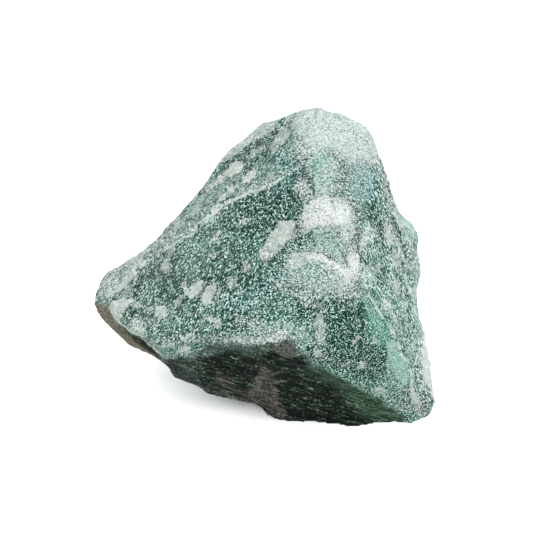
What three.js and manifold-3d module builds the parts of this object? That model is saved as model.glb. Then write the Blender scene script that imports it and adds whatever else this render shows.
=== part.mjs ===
// A rough lump of amazonite: one solid, broken into faces, ledges and hollows, resting on a flat break.
// Millimetres, +Z up, +X to the right and +Y to the back. The origin is under the middle of the lump.

import * as THREE from "three";
import Module from "manifold-3d";
import { ConvexHull } from "three/addons/math/ConvexHull.js";
import { ImprovedNoise } from "three/addons/math/ImprovedNoise.js";
import { TessellateModifier } from "three/addons/modifiers/TessellateModifier.js";
import { mergeVertices } from "three/addons/utils/BufferGeometryUtils.js";

// The front of the lump is measured as the eye sees it, looking down on it from the front.
// A corner there is [across, up, near]: millimetres to the right, up the view and towards the eye.
const eyeTilt = THREE.MathUtils.degToRad(35);
const eyeDistance = 261;
const eyeCentreHeight = 26.9;

// A point that every corner can be seen from, in the lump's own frame.
const heart = new THREE.Vector3(4, 12, 12);

// The flat triangles between the corners are cut up until no edge is longer than this.
const longestEdge = 2.1;
const mostCuts = 12;

// A pass of wear pulls the edges in and then pushes them out, by these shares of the way.
const wearPasses = 1;
const wearShares = [0.5, -0.52];

// Lumps and dents, from the widest to the smallest.
const lumps = [
  { size: 9, depth: 0.5 },
  { size: 3.6, depth: 0.22 },
  { size: 1.9, depth: 0.12 },
];

// The grain lies in sheets. Faces that cross them break in low steps, one sheet after another.
const sheetNormal = new THREE.Vector3(-0.12, -0.6, 0.79).normalize();
const sheetStep = { spacing: 3.1, depth: 0.42, wander: 1.1, wanderSize: 7 };

// A corner on the ground, from where it is seen.
function onGround([across, up]) {
  const drop = eyeCentreHeight + up * Math.cos(eyeTilt);
  const near = -drop / (Math.sin(eyeTilt) - (up * Math.cos(eyeTilt)) / eyeDistance);
  return [across, up, near];
}

// A block under z = 0, wider than the lump.
const groundSide = 120;

// The outline, clockwise from the left shoulder.
const leftShoulder = [
  [-4.7, 22, -14],
  [-0.8, 25.6, -13.5],
  [1.7, 26.1, -12.5],
  [3.1, 26.6, -12],
];
const crown = [
  [7.3, 28.1, -10.5],
  [9.1, 28.1, -10],
  [14.2, 26.2, -10],
  [17.6, 24.7, -10.5],
  [19, 21.8, -11],
  [20, 18.8, -11.5],
];
const rightFlank = [
  [20.9, 16.5, -12],
  [22, 12.4, -12.5],
  [23.7, 9.1, -13.5],
  [25.3, 8, -14],
  [26.6, 5.9, -14.5],
  [26.8, 2.9, -14],
  [27.5, 0.7, -13.5],
  [27, -2.2, -13.5],
  [26.3, -4.1, -13],
  [26.6, -7.1, -12.5],
  [27.3, -11.2, -12],
  [27.9, -14.4, -11],
  [28.7, -17.4, -10],
  [29.3, -20.9, -9],
];
const toe = [
  [29.8, -24, -8],
  [29.2, -25.5, -8],
  [27.3, -27.4, -7.4],
];
const footLine = [
  [25.9, -28],
  [22.9, -27.6],
  [18.8, -27.8],
  [15.6, -28.3],
  [10.1, -27.8],
  [4.5, -27.4],
  [1.7, -26.8],
].map(onGround);
const wingUnder = [
  [-1.1, -24.8, -8],
  [-3.3, -23.8, -7.6],
  [-6, -22.9, -7],
  [-7.8, -22.8, -6.7],
  [-9.2, -22.9, -6.3],
  [-10.9, -21.9, -5.4],
  [-12.2, -21, -4.9],
  [-14.4, -20.4, -4.3],
  [-15.7, -19.8, -3.9],
  [-16.8, -18.4, -3.2],
  [-18.4, -17, -2.9],
  [-19.7, -16.3, -3.2],
  [-21.4, -15.3, -3.5],
  [-23.2, -14.3, -3.9],
  [-25, -13, -4.3],
  [-26.5, -11.7, -4.7],
  [-28.3, -10.1, -5.2],
  [-29.8, -8.3, -5.7],
];
const wingTip = [
  [-30.5, -6.6, -6.2],
  [-30.1, -4.7, -6.6],
  [-28.8, -2.2, -7.5],
  [-26.9, -0.4, -8.5],
  [-24.4, 1.1, -9.5],
];
const leftFlank = [
  [-21.4, 2.9, -10.5],
  [-19.2, 4.5, -11.5],
  [-17, 6.8, -12],
  [-12.1, 12.4, -13],
  [-9.4, 16.2, -13.5],
  [-6.3, 20.6, -14],
];

// Edges and ridges inside the outline.
const longRidge = [
  [4.1, 16.3, -2.5],
  [1.3, 14.5, -3],
  [-2, 12.9, -3.5],
  [-5.6, 10.9, -4],
  [-9.4, 8.4, -4.5],
  [-13.5, 5.9, -5],
  [-17, 3.8, -5.5],
  [-19.7, 2, -5.5],
  [-21.8, -0.1, -5],
  [-23.2, -1.9, -4.4],
  [-24.7, -3.3, -4.2],
  [-26.3, -4, -4.5],
  [-27.5, -4.9, -4.9],
];
const lip = [
  [-27.7, -6, -4.6],
  [-27.3, -7.9, -3.6],
  [-26, -10.1, -2.5],
  [-23.9, -11.6, -1.4],
  [-21.6, -12.4, -0.6],
  [-20.2, -13.5, 0],
  [-18.8, -15.1, 0.4],
  [-16.8, -15.9, 0.9],
  [-15.1, -15.9, 1.6],
  [-13.3, -15.7, 2.2],
];
const underLip = [
  [-27.7, -8.9, -5],
  [-25.9, -11, -5],
  [-23.5, -12.4, -4.6],
  [-21.4, -13.3, -3.9],
  [-20, -14.7, -3.2],
  [-18.8, -16, -2.5],
];
const rim = [
  [-11.7, -14.7, 2.8],
  [-9.6, -13.8, 3.4],
  [-5.6, -13.5, 4.6],
  [-1.5, -13.7, 5.6],
  [1.7, -13.5, 6.6],
  [4, -12.9, 7],
  [6.4, -14.7, 6.6],
  [9.3, -16.9, 5.2],
  [11.5, -18.6, 4],
  [14.3, -20, 2.6],
  [16.5, -21.7, 1],
  [20, -23.5, -1.6],
  [22, -24.9, -3.6],
  [23.6, -26.2, -5.2],
];
const rightRidge = [
  [13.9, 9.1, 0.2],
  [14.4, 3.6, 2.2],
  [14.4, 0.1, 3.2],
  [16.5, -1.3, 2.6],
  [17.7, -3.4, 2.3],
  [19.2, -6.8, 1.7],
  [21.1, -10.3, 0.8],
  [22.5, -12.1, 0],
  [23.4, -14.9, -0.8],
  [25, -17.4, -2.2],
  [25.9, -21.4, -4.5],
  [26.7, -24.8, -6.5],
];
const greyRidge = [
  [4.1, -14, 6.3],
  [1.9, -15.5, 5.1],
  [0.4, -17.2, 3.9],
  [-0.3, -20.4, 0.9],
  [0.3, -23.4, -3.1],
  [1.4, -25.4, -6],
];
const step = [
  [3.4, 3.6, 1],
  [6.6, 2.9, 2],
  [8.7, 2.6, 3],
  [10.7, 1.9, 3.3],
  [12.3, 1.5, 3.3],
];

// The faces between the edges.
const crownFace = [
  [5.6, 25.7, -9.3],
  [5.2, 23.5, -7.9],
  [10.3, 25.9, -8.6],
  [14.7, 23.2, -8.7],
  [9.6, 22.6, -6.6],
  [13, 20.6, -6],
  [4.6, 20.9, -6.4],
  [7.1, 20, -4.9],
  [16.9, 19.7, -8.3],
  [17.4, 15.3, -6.9],
  [8.6, 17.9, -3.2],
  [12.6, 17.3, -3.9],
  [17.6, 22.4, -9.8],
  [6.4, 18.3, -3.8],
  [4.9, 18.7, -4.5],
];
const peakFace = [
  [7.2, 16.3, -3.2],
  [8.5, 15.2, -2.2],
  [6.2, 14.5, -2.3],
  [5.3, 16.9, -2.8],
  [4.6, 12.8, -2],
  [8, 12.2, -1],
  [12.1, 14.3, -2],
  [11.2, 10.9, 0],
  [9.1, 9.1, 0.9],
  [5.9, 9.1, -0.3],
  [15.6, 12.6, -2.6],
  [14.7, 16, -4.2],
  [12.7, 6.9, 1.4],
  [8.7, 6.6, 1.3],
];
const aboveStep = [
  [4.1, 5.6, 0],
  [7.7, 4.1, 1.4],
  [9.8, 3.8, 1.6],
  [12.1, 4.7, 2],
];
const broadFace = [
  [0, 9.5, -0.9],
  [-2.9, 6.4, -0.7],
  [-6, 7.7, -2.6],
  [-7.5, 3.2, -1.1],
  [-11.7, 1.1, -1.6],
  [-14.8, 2.9, -3],
  [-18.8, -4.1, -2.1],
  [-19.6, -0.8, -3.3],
  [-15.2, -2.4, -1.3],
  [-20.9, -8.9, -0.9],
  [-17.4, -8.1, -0.2],
  [-11.7, -7.7, 1.3],
  [-8.2, -3.4, 1.1],
  [-2.9, -4.1, 2.7],
  [0.4, 1.8, 1.7],
  [0, -8.1, 4.6],
  [-4.7, -10.3, 4.1],
  [-8.3, -11, 3.1],
  [-15, -11.9, 1.4],
  [-12.1, -12.3, 2.4],
  [2, -11.1, 6.1],
  [-18.4, -13, 0.7],
];
const tipPocket = [
  [-25.1, -4.9, -4.4],
  [-26.5, -5.9, -4.3],
  [-24.6, -7.2, -2.6],
  [-23.3, -9.3, -1.9],
  [-26.1, -7.6, -3],
  [-22.6, -4.6, -3.4],
];
const flankFace = [
  [-18.9, 3.6, -8],
  [-15.3, 6.4, -8],
  [-11.3, 10.3, -8.3],
  [-7.2, 13.9, -8.4],
  [-3.4, 17.2, -9],
  [-4.9, 12.8, -5.7],
  [-0.6, 15.4, -5.4],
  [-0.3, 18.6, -7.9],
  [-22.3, 1.1, -8.2],
  [-25.7, -1.7, -7],
  [-28.4, -4, -5.9],
  [-2.3, 21.4, -12],
  [0, 23.6, -12.2],
  [2.2, 17.6, -4.6],
];
const crownGroove = [
  [3.3, 25.3, -11.5],
  [3.3, 23.6, -10.4],
  [2.1, 21.8, -9.9],
  [0.3, 20.4, -9.6],
];
const dome = [
  [11.2, -1.5, 4.3],
  [6.8, -1.5, 4],
  [13.9, -3.3, 4.2],
  [9.4, -5.9, 5.2],
  [14.7, -7.7, 4.6],
  [5.9, -9.4, 6.2],
  [12.1, -12.1, 5.3],
  [9.4, -13.9, 6],
  [17.4, -13, 3.2],
  [14.7, -16.5, 3.4],
  [19.2, -17.4, 0.8],
  [22.7, -17.4, -0.6],
  [21.8, -20.9, -2.2],
];
const rightFace = [
  [18.3, 11.7, -5],
  [19.7, 15.3, -9],
  [16.5, 5.6, 0.4],
  [16.4, 9.6, -1.4],
  [18.6, 5.6, -1.6],
  [20.1, 8.9, -4.6],
  [21, 2.9, -3.6],
  [18.2, 1.2, 0.2],
  [20.1, -2, -0.6],
  [22.8, 1.1, -5.4],
  [22.3, -3.7, -3],
  [23.4, -8.3, -3.6],
  [24.3, -12.6, -4],
  [26, -17.3, -5],
  [27.2, -21.8, -6],
  [21.4, -7.2, -1],
  [27.6, -25.4, -6.7],
];
const flankRidge = [
  [20.4, 12.3, -7.4],
  [22.1, 10.1, -8.2],
  [23.2, 8, -8.4],
  [23.7, 6.4, -8.3],
  [24.9, 5.4, -9.1],
  [25.4, 3.9, -9.4],
  [25.8, 2.5, -10.2],
  [24.3, -1.1, -6.9],
  [24.6, -3.3, -6.5],
  [25.5, -4.9, -7.4],
  [26, -7.2, -8.2],
  [26.6, -9.8, -8.6],
  [26.9, -13, -8],
  [27.3, -17.4, -7.2],
  [28.1, -20.9, -6.9],
  [28.6, -23.6, -6.7],
  [25.4, 7, -11.6],
  [26, 4.9, -12],
  [26.4, 0.2, -11.6],
  [25.7, -2.7, -10.4],
];
const leftHollow = [
  [-13.5, -17.9, -0.4],
  [-10.4, -16.2, 0.6],
  [-7.3, -15.7, 1.2],
  [-3.4, -16, 1.8],
  [-0.9, -16.4, 3.1],
  [-11.9, -19.5, -3],
  [-8.6, -18.6, -1.6],
  [-5, -19.1, -1.3],
  [-2.2, -19.2, -0.2],
  [-6.6, -21.2, -4.6],
  [-2.9, -22.2, -4.4],
  [-15.2, -18.4, -1.9],
];
const rightHollow = [
  [5.9, -18.3, 1.3],
  [3.2, -19.6, 0.4],
  [3.9, -23.3, -3.6],
  [7.4, -22.2, -2.9],
  [11.2, -20.9, -0.9],
  [11.2, -24.4, -4.4],
  [15.6, -23.7, -3.2],
  [15.6, -26, -5.4],
  [19.9, -25.3, -4.7],
  [7.2, -25.4, -5.3],
];

// The sides that the front view hides, as [x, y, z].
const back = [
  [6, 29, 40],
  [13.5, 28.8, 39],
  [-0.5, 29.5, 37.5],
  [17.5, 27, 36],
  [-6, 28, 32],
  [1, 30.5, 34],
  [9, 31, 35],
  [17, 28.5, 31.5],
  [-13, 23.5, 26],
  [-4, 30.5, 28],
  [4, 32, 29],
  [12, 31.5, 28.5],
  [20, 27, 27],
];
const backLedge = [
  [-19, 18.5, 20.5],
  [-12, 25.5, 21.5],
  [-4, 31, 22.5],
  [4, 32.5, 22],
  [12, 32.5, 21.3],
  [20, 26.6, 20.5],
  [-3.5, 28.3, 18.8],
  [4.5, 29.6, 18.6],
  [12, 29.6, 18],
  [19, 26, 17.5],
];
const lowerBack = [
  [-26, 8.5, 15],
  [-20, 13, 15],
  [-14, 18.5, 15],
  [-7.5, 23.5, 14.3],
  [0, 27, 14],
  [8, 28, 13.5],
  [15.5, 26.5, 13],
  [22, 21, 13],
  [27, 12.5, 12],
  [-20, 6.5, 9.5],
  [-14, 12, 9],
  [-9, 18, 9],
  [-2, 23, 8.8],
  [6, 25.5, 8.3],
  [14, 24, 8],
  [20.5, 19.5, 7.5],
  [27, 9, 6.5],
  [-13, 6, 4.2],
  [-9.5, 13, 4],
  [-4, 18.5, 4],
  [4, 22.5, 3.8],
  [12, 22.3, 3.5],
  [19, 17.5, 3],
  [25.5, 7.5, 3],
];
const wingBelly = [
  [-26, 4, 12.5],
  [-22, 0, 10.5],
  [-16, 0.5, 6.5],
  [-11, 0, 2.5],
];
const foot = [
  [-9.5, 5, -2],
  [-8, 12, -2],
  [-2.5, 17.5, -2],
  [5, 21.3, -2],
  [12, 21, -2],
  [18.5, 16.5, -2],
  [24.5, 6.5, -2],
  [27.5, -3, -2],
  [-6, -2, -2],
  [4, 6, -2],
  [14, 6, -2],
];

// Wear takes a little off the outline, so its corners stand out by that much.
const wornAway = 0.18;
const outline = [leftShoulder, crown, rightFlank, toe, wingUnder, wingTip, leftFlank]
  .flat()
  .map(([across, up, near]) => {
    const stretch = 1 + wornAway / Math.hypot(across, up);
    return [across * stretch, up * stretch, near];
  });

// Past the outline the surface turns away over a few millimetres rather than at an edge.
const turnDepth = 3;
const turnInward = 0.985;
const turned = outline.map(([across, up, near]) => {
  return [across * turnInward, up * turnInward, near - turnDepth];
});

// The lump meets the ground steeply, so the foot carries on below it before the cut.
const footDrop = new THREE.Vector3(0, 0.3, -2);
const belowFoot = footLine.map((corner) => standUp(corner).add(footDrop));

const seen = [
  ...[outline, turned, footLine],
  ...[longRidge, lip, underLip, rim, rightRidge, flankRidge, greyRidge, crownGroove, step],
  ...[crownFace, peakFace, aboveStep, broadFace, tipPocket, flankFace, dome, rightFace],
  ...[leftHollow, rightHollow],
].flat();
const hidden = [back, backLedge, lowerBack, wingBelly, foot].flat();

// Turns a corner from the eye's frame into the lump's own. What is farther from the eye looks smaller.
function standUp([across, up, near]) {
  const spread = 1 - near / eyeDistance;
  const y = up * spread * Math.sin(eyeTilt) - near * Math.cos(eyeTilt);
  const z = up * spread * Math.cos(eyeTilt) + near * Math.sin(eyeTilt) + eyeCentreHeight;
  return new THREE.Vector3(across * spread, y, z);
}

// Joins the corners into flat triangles: neighbours are those next to each other as seen from the heart.
function cageOf(corners) {
  const directions = corners.map((corner) => corner.clone().sub(heart).normalize());
  const cornerOf = new Map(directions.map((direction, i) => [direction, corners[i]]));
  const hull = new ConvexHull().setFromPoints(directions);
  const positions = hull.faces.flatMap((face) => {
    const triangle = [];
    let edge = face.edge;
    do {
      triangle.push(...cornerOf.get(edge.head().point).toArray());
      edge = edge.next;
    } while (edge !== face.edge);
    return triangle;
  });
  const cage = new THREE.BufferGeometry();
  cage.setAttribute("position", new THREE.Float32BufferAttribute(positions, 3));
  return cage;
}

// The vertices joined to each vertex by an edge.
function neighboursOf(geometry) {
  const neighbours = Array.from({ length: geometry.attributes.position.count }, () => new Set());
  const index = geometry.index.array;
  for (let i = 0; i < index.length; i += 3) {
    for (let k = 0; k < 3; k++) {
      neighbours[index[i + k]].add(index[i + ((k + 1) % 3)]);
      neighbours[index[i + k]].add(index[i + ((k + 2) % 3)]);
    }
  }
  return neighbours.map((set) => [...set]);
}

// Rounds the edges a little, as handling does, without shrinking the lump.
function wear(geometry) {
  const position = geometry.attributes.position;
  const neighbours = neighboursOf(geometry);
  const point = new THREE.Vector3();
  const other = new THREE.Vector3();
  for (let pass = 0; pass < wearPasses; pass++) {
    for (const share of wearShares) {
      const moved = neighbours.map((near, i) => {
        const mean = new THREE.Vector3();
        near.forEach((j) => mean.add(other.fromBufferAttribute(position, j)));
        point.fromBufferAttribute(position, i);
        return mean.divideScalar(near.length).sub(point).multiplyScalar(share).add(point);
      });
      moved.forEach((p, i) => position.setXYZ(i, p.x, p.y, p.z));
    }
  }
}

// Pushes the surface in and out along its normal: lumps of a few sizes, and the sheets' low steps.
function roughen(geometry) {
  const noise = new ImprovedNoise();
  const noiseAt = (point, size) => noise.noise(point.x / size, point.y / size, point.z / size);
  const position = geometry.attributes.position;
  geometry.computeVertexNormals();
  const point = new THREE.Vector3();
  const normal = new THREE.Vector3();
  for (let i = 0; i < position.count; i++) {
    point.fromBufferAttribute(position, i);
    normal.fromBufferAttribute(geometry.attributes.normal, i);
    const lump = lumps.reduce((sum, { size, depth }) => sum + depth * noiseAt(point, size), 0);
    const wandered = point.dot(sheetNormal) + sheetStep.wander * noiseAt(point, sheetStep.wanderSize);
    const sheets = wandered / sheetStep.spacing;
    const alongSheet = sheets - Math.floor(sheets);
    const crossing = 1 - Math.abs(normal.dot(sheetNormal));
    const step = sheetStep.depth * crossing * (alongSheet - 0.5);
    point.addScaledVector(normal, lump + step);
    position.setXYZ(i, point.x, point.y, point.z);
  }
}

// A closed geometry as a solid that can be cut.
function solidOf(wasm, geometry) {
  const bare = geometry.clone();
  bare.deleteAttribute("normal");
  bare.deleteAttribute("uv");
  const merged = mergeVertices(bare);
  return new wasm.Manifold(
    new wasm.Mesh({
      numProp: 3,
      vertProperties: merged.attributes.position.array,
      triVerts: new Uint32Array(merged.index.array),
    }),
  );
}

function geometryOf(solid) {
  const { vertProperties, triVerts } = solid.getMesh();
  const geometry = new THREE.BufferGeometry();
  geometry.setAttribute("position", new THREE.BufferAttribute(vertProperties, 3));
  geometry.setIndex(new THREE.BufferAttribute(triVerts, 1));
  return geometry;
}

// Cuts away what lies below the ground, which leaves the flat break that the lump rests on.
function cutFoot(wasm, geometry) {
  const ground = new THREE.BoxGeometry(groundSide, groundSide, groundSide);
  ground.translate(0, 0, -groundSide / 2);
  return geometryOf(solidOf(wasm, geometry).subtract(solidOf(wasm, ground)));
}

function makeLump(wasm) {
  const unseen = hidden.map((corner) => new THREE.Vector3(...corner));
  const corners = [...seen.map(standUp), ...belowFoot, ...unseen];
  const fine = new TessellateModifier(longestEdge, mostCuts).modify(cageOf(corners));
  const lump = mergeVertices(fine);
  wear(lump);
  roughen(lump);
  return cutFoot(wasm, lump);
}

const wasm = await Module();
wasm.setup();

const greenStone = new THREE.MeshStandardMaterial({ color: 0x7d9c90, roughness: 0.62, metalness: 0 });
const stone = new THREE.Mesh(makeLump(wasm), greenStone);
stone.name = "stone";
const middle = new THREE.Box3().setFromObject(stone).getCenter(new THREE.Vector3());
stone.position.set(-middle.x, -middle.y, 0);

const part = new THREE.Group();
part.add(stone);
export default part;
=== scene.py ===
import math

import bmesh
import bpy
import numpy as np
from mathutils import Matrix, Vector, noise


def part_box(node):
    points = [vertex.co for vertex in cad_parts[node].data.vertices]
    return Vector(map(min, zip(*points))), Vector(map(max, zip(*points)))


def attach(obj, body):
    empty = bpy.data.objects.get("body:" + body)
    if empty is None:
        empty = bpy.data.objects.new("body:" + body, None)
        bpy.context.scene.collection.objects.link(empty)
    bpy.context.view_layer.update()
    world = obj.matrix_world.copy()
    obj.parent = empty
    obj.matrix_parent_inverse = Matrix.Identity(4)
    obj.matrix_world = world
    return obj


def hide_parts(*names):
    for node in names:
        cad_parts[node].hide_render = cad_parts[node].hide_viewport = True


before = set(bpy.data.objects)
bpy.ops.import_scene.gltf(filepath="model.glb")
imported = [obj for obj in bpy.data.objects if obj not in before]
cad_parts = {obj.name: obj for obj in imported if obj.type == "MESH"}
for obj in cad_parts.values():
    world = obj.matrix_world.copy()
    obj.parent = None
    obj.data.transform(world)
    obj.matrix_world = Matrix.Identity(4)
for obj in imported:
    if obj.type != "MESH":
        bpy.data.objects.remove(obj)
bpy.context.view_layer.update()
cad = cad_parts["stone"]
mm = 0.001


# The eye looks down at the stone from the front. All places on the front are given as
# (across, up) in millimetres from the middle of its view, on the plane through the target.
eye = {
    "target": (0.24, -9.29, 26.9),
    "tilt": 35,
    "distance": 261.3,
    "lens": 100,
    "clip": (0.01, 20),
}


def makeCamera():
    tilt = math.radians(eye["tilt"])
    back = Vector((0, -math.cos(tilt), math.sin(tilt)))
    data = bpy.data.cameras.new("photoCamera")
    data.lens = eye["lens"]
    data.clip_start, data.clip_end = eye["clip"]
    camera = bpy.data.objects.new("photoCamera", data)
    camera.location = (Vector(eye["target"]) + back * eye["distance"]) * mm
    camera.rotation_euler = (math.pi / 2 - tilt, 0, 0)
    bpy.context.scene.collection.objects.link(camera)
    bpy.context.scene.camera = camera


def asSeen(points):
    tilt = math.radians(eye["tilt"])
    away = points / mm - np.array(eye["target"])
    near = -away[:, 1] * math.cos(tilt) + away[:, 2] * math.sin(tilt)
    up = away[:, 1] * math.sin(tilt) + away[:, 2] * math.cos(tilt)
    spread = eye["distance"] / (eye["distance"] - near)
    return away[:, 0] * spread, up * spread


def facingEye(normals):
    tilt = math.radians(eye["tilt"])
    return -normals[:, 1] * math.cos(tilt) + normals[:, 2] * math.sin(tilt)


# What the shapes on the front are made of: how far a place is from a line, an area or an oval.
farAway = 9.0  # gaps are kept up to this, in millimetres


def fromLine(x, y, places):
    # the distance, and 1 on the left of the line's nearest stretch or -1 on its right
    nearest = np.full(x.shape, np.inf)
    side = np.ones(x.shape)
    for (ax, ay), (bx, by) in zip(places, places[1:]):
        dx, dy = bx - ax, by - ay
        along = np.clip(((x - ax) * dx + (y - ay) * dy) / (dx * dx + dy * dy), 0, 1)
        gap = np.hypot(x - ax - along * dx, y - ay - along * dy)
        side = np.where(gap < nearest, np.sign(dx * (y - ay) - dy * (x - ax)), side)
        nearest = np.minimum(nearest, gap)
    return nearest, side


def fromArea(x, y, corners):
    closed = corners + corners[:1]
    inside = np.zeros(x.shape, bool)
    for (ax, ay), (bx, by) in zip(closed, closed[1:]):
        crosses = (ay > y) != (by > y)
        rise = by - ay if by != ay else 1e-6
        inside ^= crosses & (x < (bx - ax) * (y - ay) / rise + ax)
    gap = fromLine(x, y, closed)[0]
    return np.where(inside, -gap, gap)


def fromOval(x, y, across, up, length, width, turn):
    # length and width are half sizes; the long way is turned from across by turn degrees
    angle = math.radians(turn)
    along = (x - across) * math.cos(angle) + (y - up) * math.sin(angle)
    over = -(x - across) * math.sin(angle) + (y - up) * math.cos(angle)
    reach = np.hypot(along / length, over / width)
    return (reach - 1) * min(length, width)


def fromShape(x, y, shape):
    # the distance, and the same with a sign: negative inside, or on the right of a line
    if "line" in shape:
        gap, side = fromLine(x, y, shape["line"])
        return gap, gap * side
    if "area" in shape:
        gap = fromArea(x, y, shape["area"])
    else:
        gap = fromOval(x, y, *shape["oval"])
    return gap, gap


def smoothStep(low, high, value):
    share = np.clip((value - low) / (high - low), 0, 1)
    return share * share * (3 - 2 * share)


def nearestOf(x, y, shapes):
    # the signed gap to the nearest edge or line, and the share that its shape has
    reach = np.full(x.shape, farAway)
    gap = np.full(x.shape, farAway)
    share = np.zeros(x.shape)
    for shape in shapes.values():
        own, signed = fromShape(x, y, shape)
        closer = own < reach
        reach = np.where(closer, own, reach)
        gap = np.where(closer, signed, gap)
        share = np.where(closer, shape["share"], share)
    return np.clip(gap, -farAway, farAway), share


def maskOf(x, y, shape):
    gap = fromShape(x, y, shape)[0] - shape.get("width", 0) / 2
    return smoothStep(shape["edge"] / 2, -shape["edge"] / 2, gap) * shape["share"]


# Each shape is written as its sizes and then its places: the corners of an area, the middle, half
# sizes and turn of an oval, or the points of a line. Share is how much of the shape shows.
def shapeMaker(kind, *sizes):
    def make(*values):
        shape = dict(zip(sizes, values))
        shape[kind] = values[len(sizes):]
        return shape
    return make


# patches with a soft edge of the given width
area = shapeMaker("area", "edge", "share")
oval = shapeMaker("oval", "edge", "share")
band = shapeMaker("line", "edge", "share", "width")
# marks with a clean edge
chip = shapeMaker("area", "share")
lens = shapeMaker("oval", "share")
thread = shapeMaker("line", "share")
crack = shapeMaker("line", "share", "depth")
step = shapeMaker("line", "height", "reach")

# outlines that more than one table uses
rimBand = [
    (-12.4, -15.7), (-11.2, -14.3), (-10, -13.8), (-5, -13.8), (1.3, -13.7), (1.6, -15),
    (-5, -15.2), (-11, -15.4), (-12.2, -16.4)]
longRidge = [
    (4.7, 16.4), (1.5, 14.9), (-1.7, 13.4), (-4.7, 12.2), (-7.1, 11.1), (-10.3, 8.7),
    (-13.5, 6.2)]


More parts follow.
